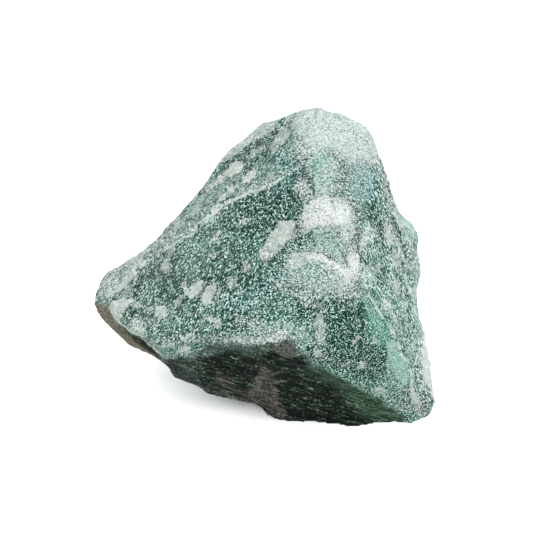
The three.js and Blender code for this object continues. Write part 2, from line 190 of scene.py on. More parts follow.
# Frosty white patches, where the pale grains run together, and thin veils of the same. Some also
# carry painted light: the light from above on the crown and peak, and the light that the ridges
# and outlines catch.
frost = {
    # partly painted light: this veil pales the upper part for the light from above
    "veil on the upper part": area(5, 0.34, (5, 26), (10, 28), (18, 26), (20.5, 17), (17.5, 11),
        (14.5, 7), (8.5, 8), (8, 13), (7, 18)),
    "veil on the dome": area(4, 0.46, (3, 1), (8, 3), (15, 0), (17, -5), (13, -6.5), (8, -6),
        (3, -4)),
    # painted light: this veil lightens the right face for the light that falls on that side
    "veil on the right face": area(6, 0.39, (16, 8), (23, 9), (27, 4), (27.5, -10), (30.5, -24),
        (28, -27), (24, -25), (22.5, -10), (17, -2)),
    "veil on the left flank": area(5, 0.12, (2, 27), (-6, 21), (-12, 13), (-20, 4), (-28, -2),
        (-26, -4), (-16, 4), (-8, 9), (0, 17)),
    # painted light: the light that the wing's outline catches
    "veil on the wing end": area(2, 0.35, (-31, -6), (-30.4, -2), (-24, 4), (-20, 6), (-21.8, 1),
        (-24, -2), (-28, -5.6)),
    "veil on the wing": area(5, 0.2, (-29, -4), (-22, -1), (-19, -8), (-15, -12), (-19, -14),
        (-26, -10)),
    # pale frost, partly painted light: whiter for the light from above
    "crown": area(2.5, 0.95, (2.9, 27.3), (8.2, 28.9), (13.9, 27.4), (18.4, 25.6), (21, 20.6),
        (18.6, 18.3), (14.7, 18.8), (11.2, 20.6), (9.1, 20.2), (6.8, 20.9), (5.4, 22.7),
        (4.1, 24.4)),
    "below the crown": area(3, 0.45, (5.5, 21), (11, 20.5), (18.5, 18.5), (17, 16.5), (13.5, 19),
        (8, 19.5), (5, 18.5)),
    # white frost, partly painted light: whiter for the light from above
    "bright peak": area(1.2, 1, (7.9, 12.6), (10, 12.8), (12.3, 11.9), (14.6, 11.2), (15.4, 8.6),
        (15.6, 5), (15.1, 2.6), (14, 3.4), (12.6, 5), (11.2, 6.4), (9.1, 7), (7.6, 6.6), (6.4, 7.2),
        (6.3, 8.6), (7, 10.4)),
    "left of the peak": area(1.4, 0.6, (5.4, 7.6), (6.6, 9.8), (7.8, 9.4), (7.8, 6.6), (6.4, 5.6),
        (5.6, 6)),
    "dome arc": band(2, 1, 1.8, (4.5, 0.8), (5.9, 2.1), (8, 2.2), (10.3, 1.2), (12.4, -0.2),
        (14.2, -2.1)),
    "dome": area(3, 0.52, (4.5, 0.8), (8, 2), (13, 0), (14.5, -3.5), (11, -4.5), (7, -4), (4, -2)),
    "right of the chip": area(1.4, 0.95, (14.3, 3), (15.7, 3.4), (16.6, 0.6), (16.4, -2),
        (15, -2.6), (13.8, -1.6), (13.6, 0.6)),
    "grainy spot": oval(0.8, 0.7, 6.4, 13.9, 1.9, 1.5, 80),
    # partly painted highlight: the light that the long ridge catches
    "long ridge": band(0.6, 0.5, 0.5, *longRidge, (-17.9, 3.2), (-22.3, 0)),
    "ridge shoulder": area(1.2, 0.5, (3.8, 16.2), (1.5, 15.1), (-1.7, 13.6), (-4.7, 12.4),
        (-4.9, 13.4), (-2, 14.4), (1, 16), (3, 17)),
    "below the pair": oval(0.7, 0.45, -9.3, -9.7, 1.3, 0.8, -40),
    "ring oval": oval(0.4, 0.5, -6.1, -2.7, 1.2, 0.95, 50),
    "fuzzy 1": oval(0.9, 0.7, -3.4, 0, 1.4, 0.8, 65),
    "fuzzy 2": oval(0.9, 0.75, -9.3, 2, 0.7, 0.6, 50),
    "fuzzy 3": oval(0.8, 0.75, -8.8, 5, 1.3, 0.5, 45),
    "fuzzy 4": oval(0.8, 0.6, -4.8, -4.5, 0.8, 0.6, 20),
    "fuzzy 5": oval(1, 0.65, -4.7, -9.3, 0.9, 0.9, 0),
    "fuzzy 6": oval(1.3, 0.65, -2, -10, 1.4, 0.9, 20),
    "fuzzy 7": oval(1, 0.6, -11, -9.4, 1, 0.7, 10),
    "fuzzy 8": oval(1, 0.6, -13.6, -12.2, 1.2, 0.7, 20),
    "fuzzy 9": oval(1, 0.5, 2.1, -3.2, 1.6, 0.9, 40),
    "fuzzy 10": oval(1, 0.55, 7, -5.8, 1.6, 0.9, -40),
    "wing frost": area(0.9, 0.7, (-23.8, -9.4), (-22.4, -8.8), (-21.4, -9.6), (-21.4, -11.4),
        (-22, -12), (-23.4, -11.4), (-23.8, -10.4)),
    "left half of the rim": band(1.6, 0.4, 1.4, (-12, -13), (-9, -12.8), (-6, -12.9)),
    "foot of the ridge": oval(0.9, 0.7, 26.3, -23.3, 1.6, 0.7, 105),
    # painted highlight: the light from behind that this facet on the right outline catches
    "facet lit from behind": area(1.2, 1, (26.8, -12.5), (28.4, -12.5), (30.2, -20.5), (29.8, -23.4),
        (28, -21), (27, -16.5)),
    # painted light: the light from behind that the right outline catches
    "right outline": band(1.2, 0.6, 1.6, (26.8, 2), (26.8, -4), (27.6, -9), (28.4, -13)),
    "dome fleck 1": oval(0.9, 0.6, 16.7, -17.3, 0.9, 0.8, 0),
    "dome fleck 2": oval(0.7, 0.7, 19.2, -13.2, 0.8, 0.5, -40),
    "dome fleck 3": oval(0.7, 0.55, 14.3, -17.2, 0.5, 0.8, 0),
    "dome fleck 4": oval(0.9, 0.55, 20.2, -22.2, 1.3, 0.6, -35),
    "dome fleck 5": oval(0.9, 0.6, 15.3, -5.1, 1.3, 0.8, 20),
    "rim spot 1": oval(1, 0.45, -17.4, -13.2, 1.4, 0.8, 20),
    "rim spot 2": oval(1, 0.45, -14.6, -13.3, 1.6, 0.7, 20),
    "middle of the rim": area(1.4, 0.8, (-6, -12.6), (-2, -12.2), (0.8, -12), (3.2, -10.9),
        (4.4, -11.6), (6, -13.4), (5, -13.2), (3.6, -12.7), (2.4, -13), (1.6, -13.6), (-2, -13.5),
        (-5.6, -13.6)),
    "fuzzy 11": oval(1, 0.45, 7.4, -2.7, 1.2, 0.9, 70),
    "dome fleck 6": oval(0.9, 0.55, 9.2, -15.2, 1.2, 0.8, -20),
    "cluster on the right face": area(0.9, 0.8, (17.8, 7.8), (18.9, 6.4), (18.6, 4.6), (17.6, 3),
        (16.6, 2.8), (16.3, 4.6), (17, 6.2)),
    "cluster by the ridge": area(0.8, 0.85, (16.4, 0.4), (18.7, 0.3), (19.2, -1.3), (18.5, -2.8),
        (17.5, -2.3), (16.7, -1.2)),
    "in the green window": area(1.6, 0.5, (9.6, 17.6), (12.6, 18.2), (12.4, 14), (10.6, 12.6),
        (8.8, 13), (9.2, 15)),
    "right shoulder": band(1.6, 0.5, 1.6, (19.6, 20), (20.6, 16.6), (21.6, 13), (22.4, 10.6)),
    "foot of the long patch": oval(1.2, 0.5, 0.6, 2.7, 2.2, 1.3, 50),
    "right of the crown": oval(2, 0.28, 17, 15, 2.6, 2, 100),
    "left of the crown": oval(3, 0.28, 4.2, 20.8, 2, 2.8, -20),
    "fuzzy 12": oval(0.9, 0.75, -4.1, 8, 1.3, 0.6, 20),
    "beside the streak": band(1.4, 0.42, 1.1, (9.6, -6.6), (9.2, -9), (8.7, -12.2), (9.2, -15.6)),
    "left end of the flank": oval(1.5, 0.25, -16.6, 6.2, 3.4, 1.2, 45),
    # painted light: the light from behind on the right outline
    "lower part of the right face": oval(2, 0.3, 26.4, -12.6, 1.4, 5, 10),
}

# Pale chips and lenses with clean edges, and how much each shows.
chips = {
    "long patch": chip(0.95, (0.2, 4.4), (1.2, 6.4), (2.3, 7.7), (3.7, 8.4), (5.1, 7.7),
        (5.2, 6.2), (4.2, 4.9), (2.9, 3.7)),
    "big lens on the flank": chip(1, (-7.8, 16.3), (-6.7, 17.2), (-6, 18), (-4.9, 18.5),
        (-4, 18.1), (-4.3, 17), (-5, 16.3), (-6.2, 16)),
    "lens by the long ridge": chip(1, (-4.1, 14.6), (-4, 15.6), (-3, 16.7), (-1.8, 17.4),
        (-1.8, 16.5), (-3, 15.2)),
    "streak under the band": lens(0.6, -1.7, 20.3, 1.3, 0.3, 25),
    "flank chip 1": chip(1, (-9.8, 9.3), (-9.4, 10.6), (-8.4, 11.2), (-8.4, 10), (-9.2, 9.1)),
    "flank chip 2": chip(1, (-8.5, 11.6), (-8, 12.7), (-7, 12.9), (-7.5, 11.9)),
    "flank chip 3": chip(0.9, (-7.1, 13.2), (-6.3, 14.2), (-5.3, 14.3), (-6, 13.2)),
    "flank chip 4": lens(0.85, -8.4, 15.4, 1, 0.4, 45),
    "flank chip 5": lens(0.5, -10, 14, 1.3, 0.3, 52),
    "flank chip 6": lens(0.5, -12.4, 10.2, 1.4, 0.3, 52),
    "flank chip 7": lens(0.5, -15.6, 7, 1.2, 0.3, 45),
    "pale band by the groove": chip(0.6, (0.4, 20.6), (0.6, 21.4), (1.6, 22.8), (2.2, 24),
        (3.5, 24.9), (3.7, 23.7), (3.1, 22.8), (2, 21.4), (1.2, 20.8)),
    "bump at the top": chip(0.65, (2.3, 26.4), (0, 26), (-2.2, 24.6), (-4.2, 22.6),
        (-6.2, 20.7), (-8.2, 18.4), (-6.2, 19.1), (-4, 21), (-2.2, 22.3), (-0.6, 23), (0.8, 23.7),
        (1.7, 24.9)),
    "ledge of the wing": chip(0.75, (-28, -5), (-26.4, -3.7), (-24.8, -2.4), (-23.6, -0.8),
        (-23, 0.4), (-21.6, 1.4), (-22.5, 0), (-23.3, -1.8), (-24.6, -3.5), (-26.2, -4.3),
        (-27.7, -5.2)),
    "wing chip 1": lens(0.55, -27.6, -1.9, 0.9, 0.3, 40),
    "wing chip 2": lens(0.45, -26, 0.2, 0.9, 0.25, 40),
    "wing chip 3": lens(0.5, -23.2, 1.6, 0.8, 0.3, 50),
    "beyond the ledge": chip(0.4, (-26, -4.4), (-24.6, -4), (-23.4, -4.1), (-23.8, -5),
        (-24.6, -5.6), (-26, -5.6)),
    "wing pad": chip(0.8, (-27.7, -6.6), (-27, -6.2), (-25.4, -6), (-23.4, -5.8), (-24, -6.7),
        (-25, -7.3), (-25.6, -8.6), (-26, -10), (-27, -9), (-27.8, -7.8)),
    "beside the pad": lens(0.7, -22.9, -6.9, 0.8, 0.35, -5),
    "oval near the wing": chip(0.6, (-19.9, -8.2), (-19.2, -7.2), (-18, -6.9), (-17.6, -8),
        (-18.1, -9), (-19.2, -9.4)),
    "above the oval": lens(0.5, -15.6, -6.2, 1.2, 0.4, 60),
    "blob above it": chip(0.75, (-18.6, -0.2), (-18.1, 1), (-17.1, 1.5), (-17, 0), (-17.4, -1),
        (-18.3, -0.8)),
    "its tail": chip(0.45, (-17.7, 1.4), (-17.4, 3), (-16.2, 3.8), (-16.4, 2.4), (-16.8, 1.5)),
    "chip under the flank": chip(0.8, (-15.1, -3.7), (-14.9, -2.8), (-14.3, -2.6),
        (-14.1, -3.5), (-14.6, -4.1)),
    "left of the pair": chip(0.95, (-14.6, -5), (-13.4, -4.1), (-12.8, -3), (-11.4, -2.4),
        (-10.7, -2.6), (-11.5, -3.8), (-12, -5), (-13, -5.6)),
    "right of the pair": chip(0.9, (-11.3, -6.5), (-11.4, -4.8), (-10.6, -3.5), (-9.3, -2.8),
        (-8.8, -3.6), (-9.4, -4.8), (-9.7, -5.8), (-10.4, -6.7)),
    "below the pair": chip(0.55, (-10.5, -9), (-9.5, -8.7), (-8.3, -9.5), (-7.9, -10.6),
        (-8.7, -10.9), (-9.6, -10.2)),
    "ring oval": lens(0.25, -6.1, -2.7, 1.2, 0.95, 50),
    "right face 1": chip(0.8, (20.6, 7.6), (21.3, 7.3), (22, 5.4), (22.4, 3.9), (21.7, 3.4),
        (21, 5)),
    "right face 2": lens(0.55, 22.9, 1.4, 1.1, 0.6, 100),
    "right face 3": lens(0.65, 19.7, -0.2, 0.8, 0.6, 90),
    "right face 5": chip(0.7, (22.2, -1.8), (22.9, -2.2), (23.3, -3.6), (24, -5), (23, -4.6),
        (22.4, -3.4)),
    "right face 6": chip(0.7, (20.4, -5.8), (21.4, -6), (22, -7), (21.8, -8), (20.8, -7.6),
        (20.2, -6.6)),
    "right face 7": lens(0.6, 22.4, -9, 1.3, 0.35, 125),
    "right face 8": lens(0.55, 22.8, -10.9, 0.9, 0.5, 110),
    "foot fleck": lens(0.7, 26.3, -23.3, 1.4, 0.5, 105),
    "dome fleck 1": chip(0.7, (16, -16.8), (17.1, -16.5), (17.4, -17.6), (16.6, -18.1)),
    "dome fleck 2": chip(0.65, (15, -13.4), (16.2, -12), (16.6, -12.8), (15.8, -13.8)),
    "dome fleck 3": chip(0.6, (19.2, -21.4), (20.2, -21.2), (21, -22.2), (20.2, -22.6),
        (19.4, -22.2)),
    "top of the pad": chip(0.95, (-27.4, -6.1), (-25.6, -5.7), (-23.6, -5.8), (-24.2, -6.8),
        (-25.4, -7.4), (-26.8, -7.6)),
    "bottom of the left face": chip(0.75, (-15.3, -14.4), (-14.4, -14.1), (-13.5, -14.3),
        (-13.8, -15.3), (-15, -15.3)),
    "streak on the dome": chip(0.6, (9, -8.2), (9.9, -8), (10.2, -9.6), (10.4, -11),
        (10, -12.6), (10.4, -13.6), (9, -14), (8.7, -12.4), (8.9, -11), (8.1, -10.2), (8.6, -9.2)),
    "above the streak": lens(0.45, 9.2, -6.9, 0.8, 0.7, 0),
    "blob on the dome": chip(0.65, (12.4, -2.8), (13.4, -2.8), (13.8, -4), (13.4, -5),
        (12.6, -5.2), (12.1, -4)),
    # painted highlight: the light from behind on the facet of the right outline
    "facet lit from behind": chip(0.7, (27.9, -13), (29.4, -17.5), (30.4, -21), (29.6, -22.8),
        (28.2, -20.5), (27.3, -16.5)),
    "wing stroke 1": lens(0.6, -28.2, -2.7, 0.9, 0.25, 40),
    "wing stroke 2": lens(0.6, -24.8, -2.4, 1.2, 0.3, 45),
    "wing stroke 3": lens(0.5, -22, 1.9, 1.4, 0.3, 40),
    "wing stroke 4": lens(0.45, -20, 3.4, 1.2, 0.25, 42),
    "foot of the long patch": chip(0.6, (0.5, 4.7), (3, 4.1), (2.3, 2.7), (1.2, 1.6),
        (-0.4, 0.9), (-1.5, 1.3), (-1.3, 2.6), (-0.6, 3.8)),
}

# Thin pale lines along broken edges. Those along the ridges are partly painted highlight, the
# light that the ridge catches.
paleLines = {
    # partly painted highlight along the long ridge
    "long ridge": thread(0.75, *longRidge),
    "under the long ridge": thread(0.65, (-9.4, 8.8), (-12.2, 6.6), (-15.2, 4.6), (-18.6, 2.4),
        (-21, 0.6)),
    # partly painted highlight along the right ridge
    "right ridge": thread(0.8, (16, -1.4), (17.2, -2.6), (17.9, -3.8), (18.1, -5.2), (19, -6.4),
        (19.7, -7.6), (20.3, -8.6), (20.8, -9.6), (21.6, -10.4), (22.3, -11.3), (23, -13.1),
        (23.8, -15.6), (24.9, -17.2), (25.5, -18.9), (25.5, -21), (25.9, -22.6), (26.7, -24.4)),
    "beyond the right ridge": thread(0.75, (19.4, -3.3), (20.3, -5.2), (21.6, -6.4), (22.3, -8)),
    "outer bump": thread(0.8, (22.5, 9.3), (23.2, 8.2), (23.8, 6.7), (24.9, 5.2), (25.9, 3.2)),
    "outer ledge": thread(0.8, (24.3, -1.6), (24.9, -3.5), (25.8, -5), (25.7, -7), (26.6, -9.4)),
    "inner ledge": thread(0.6, (22.1, 6.4), (23.1, 3.6), (23.8, 2.2), (24.6, 1)),
    "outer rim": thread(0.5, (22.6, 11), (23.4, 8.6), (24.4, 7.4), (26.4, 6.3)),
    "chip's right edge": thread(0.9, (13, 3.9), (14.2, 2.2), (14.9, 0.2)),
    "top of the arc": thread(0.45, (4.2, 2.2), (5.6, 2.3), (8.6, 2.2), (10.8, 1.5), (12.4, 0.4)),
    "window's left edge": thread(0.7, (9.4, 20), (7, 17.9), (7.9, 16.4), (8.7, 15)),
    "notch": thread(0.6, (3.2, 15.6), (4.6, 16.7), (6, 18.2)),
    "crown groove": thread(0.6, (0.8, 20.4), (2.2, 21.6), (3.4, 23.4), (4.4, 24.6)),
    "right of the pair": thread(0.6, (-8.2, -3.9), (-8.9, -5.2), (-9.3, -6.6)),
    "lip": thread(0.7, (-27.8, -7.4), (-26.9, -9.2), (-25.4, -10.5), (-23.8, -11.3),
        (-22, -12.4), (-20.5, -14), (-18.6, -15.4)),
    "aqua's left edge": thread(0.35, (21, -12.6), (21.7, -14.4), (21.3, -16.4), (21.5, -18.6),
        (22.6, -20.6)),
    "glow's left edge": thread(0.25, (17.3, -5.8), (18.2, -8.4), (19.8, -10.6)),
    "left of the dome": thread(0.4, (1.8, -3), (3, -4.4), (4.4, -5)),
    "ring on the right face": thread(0.6, (21.2, 1.6), (22.4, 0.5), (23.4, 0.2), (24, 1.2)),
    "right face streak": thread(0.5, (21, 7.8), (21.8, 6), (22.6, 4.6)),
    "wing ledge": thread(0.8, (-27.3, -4.7), (-25.6, -3.9), (-23.8, -3.3), (-22.9, -1.8),
        (-22.6, -0.9), (-21.4, 0.9)),
}

# Smooth, clearer stone with few grains.
clear = {
    "green window": area(2.6, 0.92, (7.2, 17.6), (8.2, 19.4), (9.6, 20.3), (12, 19.8), (13.2, 18),
        (12.6, 15.6), (12.4, 13.4), (10.6, 12.3), (8.6, 12.6), (8.4, 14.6), (8, 16.4)),
    "teal window": area(1.6, 0.88, (7.6, 6.4), (9.8, 6.9), (11.4, 6.3), (12.6, 4.9), (13.3, 3.4),
        (14.3, 1.1), (13.3, 0.6), (12.1, 1.5), (10.5, 2), (8.6, 2.6)),
    "smooth cheek": area(1.2, 0.9, (11.6, 7), (14, 7.4), (15.2, 5.6), (15, 3), (13.8, 3.3),
        (12.6, 5.2)),
    "outline bump": area(0.8, 0.7, (22.2, 10.9), (23.9, 9.4), (25.7, 8), (26.9, 5.4), (26.4, 3.8),
        (25.1, 5.4), (23.9, 7), (22.7, 9.1)),
    "lower bump": oval(0.8, 0.6, 26.7, 1, 1.7, 0.6, 95),
    "green glow": oval(1.8, 0.42, 20.3, -11, 2, 0.9, -58),
    "aqua patch": area(1.4, 0.95, (21.3, -13.4), (22.6, -13.6), (24.3, -16.4), (25.2, -18.8),
        (24.8, -20.8), (23.2, -20), (22, -18.6), (21.4, -16.4)),
    "wing pad": oval(0.6, 0.6, -25.6, -6.8, 1.7, 0.9, 10),
    "oval near the wing": oval(0.35, 0.9, -18.7, -8.1, 1.1, 0.95, 60),
    "ring oval": oval(0.4, 0.6, -6.1, -2.7, 0.8, 0.6, 50),
    "dome": area(2.4, 0.4, (4.6, 0), (8, 0.8), (12, -0.6), (13.8, -2), (10, -3), (6, -2.6)),
    "over the rim": area(1.8, 0.6, (-4, -12.2), (-2, -9.6), (2, -9.2), (5.6, -9.6), (8, -11.4),
        (8.2, -13.4), (6, -13.4), (4.4, -11.8), (2.6, -11), (-0.4, -12.4)),
}

# The whitest frost; on the crown and the peak partly painted light from above, and on the facet
# of the right outline painted highlight.
white = {
    # partly painted light from above
    "core of the peak": area(2.4, 0.7, (7.8, 11.8), (10, 12.3), (11.4, 10.8), (14, 10.6),
        (14.6, 8.4), (13.2, 7.6), (10.8, 8), (8.6, 8.6)),
    "right of the chip": oval(1.4, 0.95, 15.2, 0, 1.2, 2.3, 0),
    "dome arc": band(1.6, 0.9, 1, (8.4, 2.2), (10.6, 1.2), (12.6, -0.2), (14, -1.6)),
    # painted highlight: the light from behind on the facet of the right outline
    "facet lit from behind": oval(1.5, 1, 28.9, -17.5, 4.8, 1.3, -78),
    # partly painted light from above
    "crown": oval(5, 0.3, 13, 23.6, 5, 2.6, -20),
    # partly painted light from above
    "peak": oval(2.4, 0.4, 11.4, 9.4, 4.2, 2.2, 0),
    "left of the peak": oval(1.6, 0.7, 8.2, 8.2, 2.4, 1.1, 10),
    "middle of the rim": band(0.8, 0.5, 0.8, (-1, -12.2), (1.4, -11.8), (3.8, -11.4), (5.2, -12.6)),
}

# Blue-green stone, and green stone without grey.
teal = {
    "right of the crown": oval(2.4, 1, 17, 14.8, 3.2, 2.4, 100),
    "beside the notch": oval(3, 0.35, 4.2, 15.4, 3, 2, 60),
    "left of the crown": oval(3, 0.25, 3.4, 20.2, 3, 2.4, 20),
    "teal window": oval(2, 0.36, 11, 4.6, 2.6, 1.4, -20),
    "foot of the long patch": oval(3.5, 0.3, -4, -6.4, 2.2, 1.4, 30),
    "left of the dome": oval(3.5, 0.35, 2.3, -2.6, 2.4, 1.5, 30),
    "right face": oval(5, 0.6, 21, -3, 3, 7, 10),
    "right foot": oval(4, 0.6, 25.6, -14, 1.8, 6, 10),
    "upper left of the crown": oval(1.6, 0.3, 5.2, 23, 1.6, 0.9, 60),
    "dome": oval(3, 0.4, 8, -1.2, 4, 1.6, 0),
    "on the right face": oval(1.6, 0.5, 20.2, -2.4, 1, 2, 10),
    "beside the cluster": oval(1, 0.7, 17, 7.3, 0.9, 0.6, 0),
}
vivid = {
    "green spot": oval(1.8, 0.85, 8.8, 18.2, 1.7, 1.1, 75),
    "green glow": oval(2, 0.8, 20, -10.8, 2.6, 1.2, -58),
    "aqua patch": oval(1.6, 0.5, 23.3, -17.1, 3, 1.6, -62),
    "dome": oval(5, 0.2, 9, -3, 6, 3, -20),
    "lower dome": oval(6, 0.6, 14.6, -13.6, 9, 5.4, -45),
    "lower front": oval(4, 0.25, 4, -8, 6, 3, 10),
    "crown": oval(6, 0.5, 12, 24.5, 6, 4, -20),
    "end of the hollow": oval(3, 0.95, 20.4, -26, 5.4, 2, -30),
    "top of the right hollow": band(2.4, 0.7, 1.8, (8.2, -18.2), (11, -19.2), (13.4, -20.6),
        (16, -22.4), (19.6, -24.8)),
    "below the spot": oval(1.2, 0.5, 10, 15.3, 1.8, 0.7, 10),
    "beside the right ridge": oval(1.6, 0.4, 17.9, -7.6, 2.4, 0.9, -58),
    "right face": oval(6, 0.3, 23, -6, 5, 16, 8),
}

# Greyer, smoother stone, where the grains are faint.
calm = {
    "left flank": area(2, 0.6, (2.2, 26.6), (-6, 21.6), (-12, 14), (-20, 6), (-24, 2), (-18.5, 3),
        (-13.5, 6.4), (-10.3, 9), (-4.7, 12.5), (1.5, 15.2), (2.6, 17), (0.2, 18.2), (0.4, 20.8),
        (1.8, 24.4)),
    "wing end": area(1, 0.8, (-31.5, -7), (-31, -2), (-24, 4.4), (-19, 7), (-21, 2), (-22.4, 0),
        (-24, -2.4), (-27.4, -5), (-28.2, -7.4)),
    "left of the left face": area(5, 0.5, (-24, -1), (-14, 6), (-6, 10), (-6, 2), (-12, -3),
        (-16, -10), (-22, -10)),
    "lip of the wing": band(0.8, 1, 1.9, (-27.5, -6.8), (-26.6, -8.8), (-25.2, -10.2), (-23.6, -11),
        (-21.7, -12.1), (-20.3, -13.6), (-18.4, -15), (-16.3, -15.5), (-14.4, -15.6),
        (-12.6, -15.2)),
    "outer strip": band(0.8, 0.8, 1.8, (24.6, 8.4), (26.4, 4.4), (26.4, 0), (26.2, -4), (27.4, -10),
        (28.4, -15), (29.4, -22)),
    "beside the right ridge": area(1.2, 0.7, (15.6, -3), (17.4, -3.4), (18.4, -6.6), (21, -10.4),
        (23, -13.4), (25.2, -18.8), (25.2, -21.6), (23, -21.8), (21.6, -18), (20.6, -14),
        (18.4, -11), (16.6, -7)),
    "dome": area(3, 0.5, (3.4, 2.2), (9, 2.4), (14.4, -1), (16.6, -4.4), (12, -5.4), (7, -5),
        (3, -2.4)),
    "crown": area(3, 0.4, (4, 27), (9, 29), (18, 26), (21, 20), (14, 19), (6, 21)),
    "patch on the flank": area(0.8, 0.9, (-1.4, 16.2), (0, 17.9), (1.4, 17.8), (2.1, 17),
        (1.3, 16.1), (-0.4, 16)),
    "dark patch on the flank": oval(0.8, 0.8, -4.9, 15, 0.9, 0.6, 30),
    "along the rim": area(1.6, 0.5, (-19, -12.8), (-12, -12.8), (-6, -12.2), (0, -11.8), (2, -12),
        (1.6, -13.8), (-6, -13.9), (-11, -14), (-13, -15.4), (-19, -14.6)),
    "band under the rim": area(0.7, 1, *rimBand),
    "peak": oval(3, 0.3, 11, 8.6, 4, 2.6, 0),
}

# Dark green stone with fewer pale grains.
deep = {
    # partly painted shade: darker just below the lit long ridge
    "under the long ridge": area(4, 0.66, (7.5, 15.6), (3, 14.5), (-2, 12.3), (-7.4, 10), (-9, 6.6),
        (-3.4, 5), (1, 6.4), (5, 9.6), (6.8, 12)),
    "dark band on the flank": band(2, 0.6, 1.8, (1.2, 23.2), (-0.8, 21.6), (-2.8, 20.8), (-5, 19.4),
        (-7.4, 17.2)),
    "front of the dome": area(2.4, 1, (10.5, -7), (17, -6.4), (17.4, -9), (18, -13), (21, -15),
        (21, -19), (18, -21), (13.5, -18.4), (8, -16.6), (7, -14.4), (10.6, -13)),
    "right of the lens": oval(2, 0.5, 19.6, 7.4, 2.8, 1.4, 100),
    "wing pocket": oval(0.6, 0.8, -25.4, -4.9, 1.1, 0.4, 20),
    "left of the pair": oval(3, 0.5, -16.4, -4.4, 3.4, 2.6, 50),
    "under the streak": band(0.8, 0.7, 0.9, (0, 19.8), (-2, 18.8), (-3.4, 17.4)),
    # painted shade inside the notch
    "in the notch": area(0.6, 0.9, (4.7, 16.2), (6.4, 17.6), (7.6, 16.2), (8.2, 15.2), (6.6, 15.8),
        (5.2, 15.4)),
    "upper dome": area(2, 0.9, (5, -5.4), (9, -5.6), (12, -6), (16, -5.4), (10.6, -8.4),
        (8.2, -9.4), (5, -8.6)),
    "right of the ridge": oval(1.5, 0.9, 20.4, -1.6, 2.6, 1.2, 100),
    "middle of the left face": oval(5, 0.42, -6.5, 0.4, 5.4, 3.6, 30),
    "between the wing and the face": band(2.4, 0.6, 2.4, (-23.4, -4.2), (-20.6, -1.2), (-17, 2.2)),
}

# The hollows under the rim and the lip: darker streaked stone, with painted shade over it where
# shade falls under the overhang, and a painted shadow in the gap under the lip.
shade = {
    "hollows": area(1.2, 1, (-11.4, -16.4), (-9.6, -15.6), (-6, -14.9), (-1.5, -15), (1.6, -15),
        (3.8, -15.4), (6.6, -15.8), (8, -17.4), (10.3, -18.2), (13.6, -19.7), (16.9, -21.8),
        (20.3, -23.6), (22.7, -25.3), (24.4, -26.7), (25, -29), (2, -29), (-3, -26), (-12, -24)),
    "band under the rim": area(0.7, 0.66, *rimBand),
    "gap under the lip": area(0.4, 0.85, (-26.4, -10.3), (-25, -11), (-23.6, -11.6), (-22.4, -12.5),
        (-21, -13.1), (-20, -14.2), (-19, -15.4), (-17.8, -16.5), (-18.6, -16.6), (-20, -15.6),
        (-21.4, -14.6), (-23, -13.2), (-24.6, -11.9)),
    "left end": area(0.8, 0.9, (-18.2, -16.1), (-16.3, -16.3), (-14.4, -16.3), (-12.6, -16),
        (-11.4, -15.4), (-10.6, -16.4), (-10.6, -20), (-13, -22), (-17, -19.6)),
}

# Grey-brown stain.
brown = {
    "on the rim": area(1, 0.75, (0, -14.2), (1.8, -13.5), (2.6, -13), (3.8, -12.9), (5.2, -13.7),
        (6.4, -14.8), (5.4, -15.8), (3.4, -15.9), (1.4, -15.2)),
    "grey ridge": area(1.4, 0.8, (-0.8, -17.6), (1, -18), (1.6, -19.6), (1.8, -22), (2.6, -24),
        (4.4, -26.6), (2, -26.8), (-0.6, -25), (-2.6, -24), (-3, -21.6), (-1.6, -19.6)),
    "foot of the left hollow": area(3, 0.55, (-14, -19.6), (-10, -20.8), (-5, -21), (-2.6, -22),
        (-0.6, -24.8), (2, -27.4), (-4, -25), (-14, -22)),
    "streak in the left hollow": area(1.4, 0.7, (-9.3, -19.2), (-7, -19.1), (-5.4, -20.2),
        (-6.4, -20.9), (-8.6, -20.3)),
    "short streak": oval(0.5, 0.6, 7.4, -23.2, 1.6, 0.45, -12),
    "thin streak": oval(0.4, 0.6, 12.4, -22.9, 1.4, 0.3, 0),
    "small streak": oval(0.5, 0.5, 7.4, -17.7, 0.9, 0.5, -30),
    "far streak": oval(0.4, 0.5, 16.8, -24.8, 0.8, 0.25, 0),
    "left end of the hollow": oval(0.8, 0.5, -13.2, -19, 0.9, 0.6, -20),
    "wing end": oval(1.6, 0.35, -29.6, -4.6, 2.2, 0.9, 110),
    "right outline of the crown": band(1, 0.25, 0.6, (18.9, 20.4), (19.8, 18), (20.4, 16.6)),
    "left of the left face": area(3, 0.33, (-26.5, -5), (-24.4, -1), (-18, 1.8), (-13.6, 2.6),
        (-12, 0), (-15, -3.4), (-16.5, -6.5), (-21, -5), (-23.6, -4)),
}

# Weathered grey-olive stone.
weathered = {
    "strip under the wing": area(0.6, 1, (-31.5, -5.9), (-28.1, -7.2), (-27.1, -9.4),
        (-25.8, -10.7), (-24, -11.5), (-22.4, -12.5), (-21.1, -13.7), (-19.9, -14.9),
        (-18.5, -16.1), (-17.3, -17.7), (-16.7, -19), (-20, -18), (-26, -14), (-31, -9)),
    "wing's outline": band(1.2, 0.4, 1.4, (-31, -5), (-29.6, -1), (-26, 2.2), (-21, 5.4)),
    "band under the rim": area(0.8, 0.3, *rimBand),
}

# Where the grains lie along the slope of the left face, and of the right one.
leanLeft = {
    "left face and flank": area(1.6, 1, (4, 29), (4, 16), (6, 12), (3, 5), (-1, -2), (-6, -9),
        (-12, -14), (-20, -15), (-32, -8), (-32, 2), (-20, 8), (-8, 24)),
}
leanRight = {
    "right face": area(1.6, 1, (15.6, 0), (17.6, 8), (19, 22), (24, 16), (30, 6), (30, -12),
        (32, -24), (27.4, -24.6), (25.6, -19.6), (23.4, -14), (20.4, -8.6), (17.6, -3.6)),
}
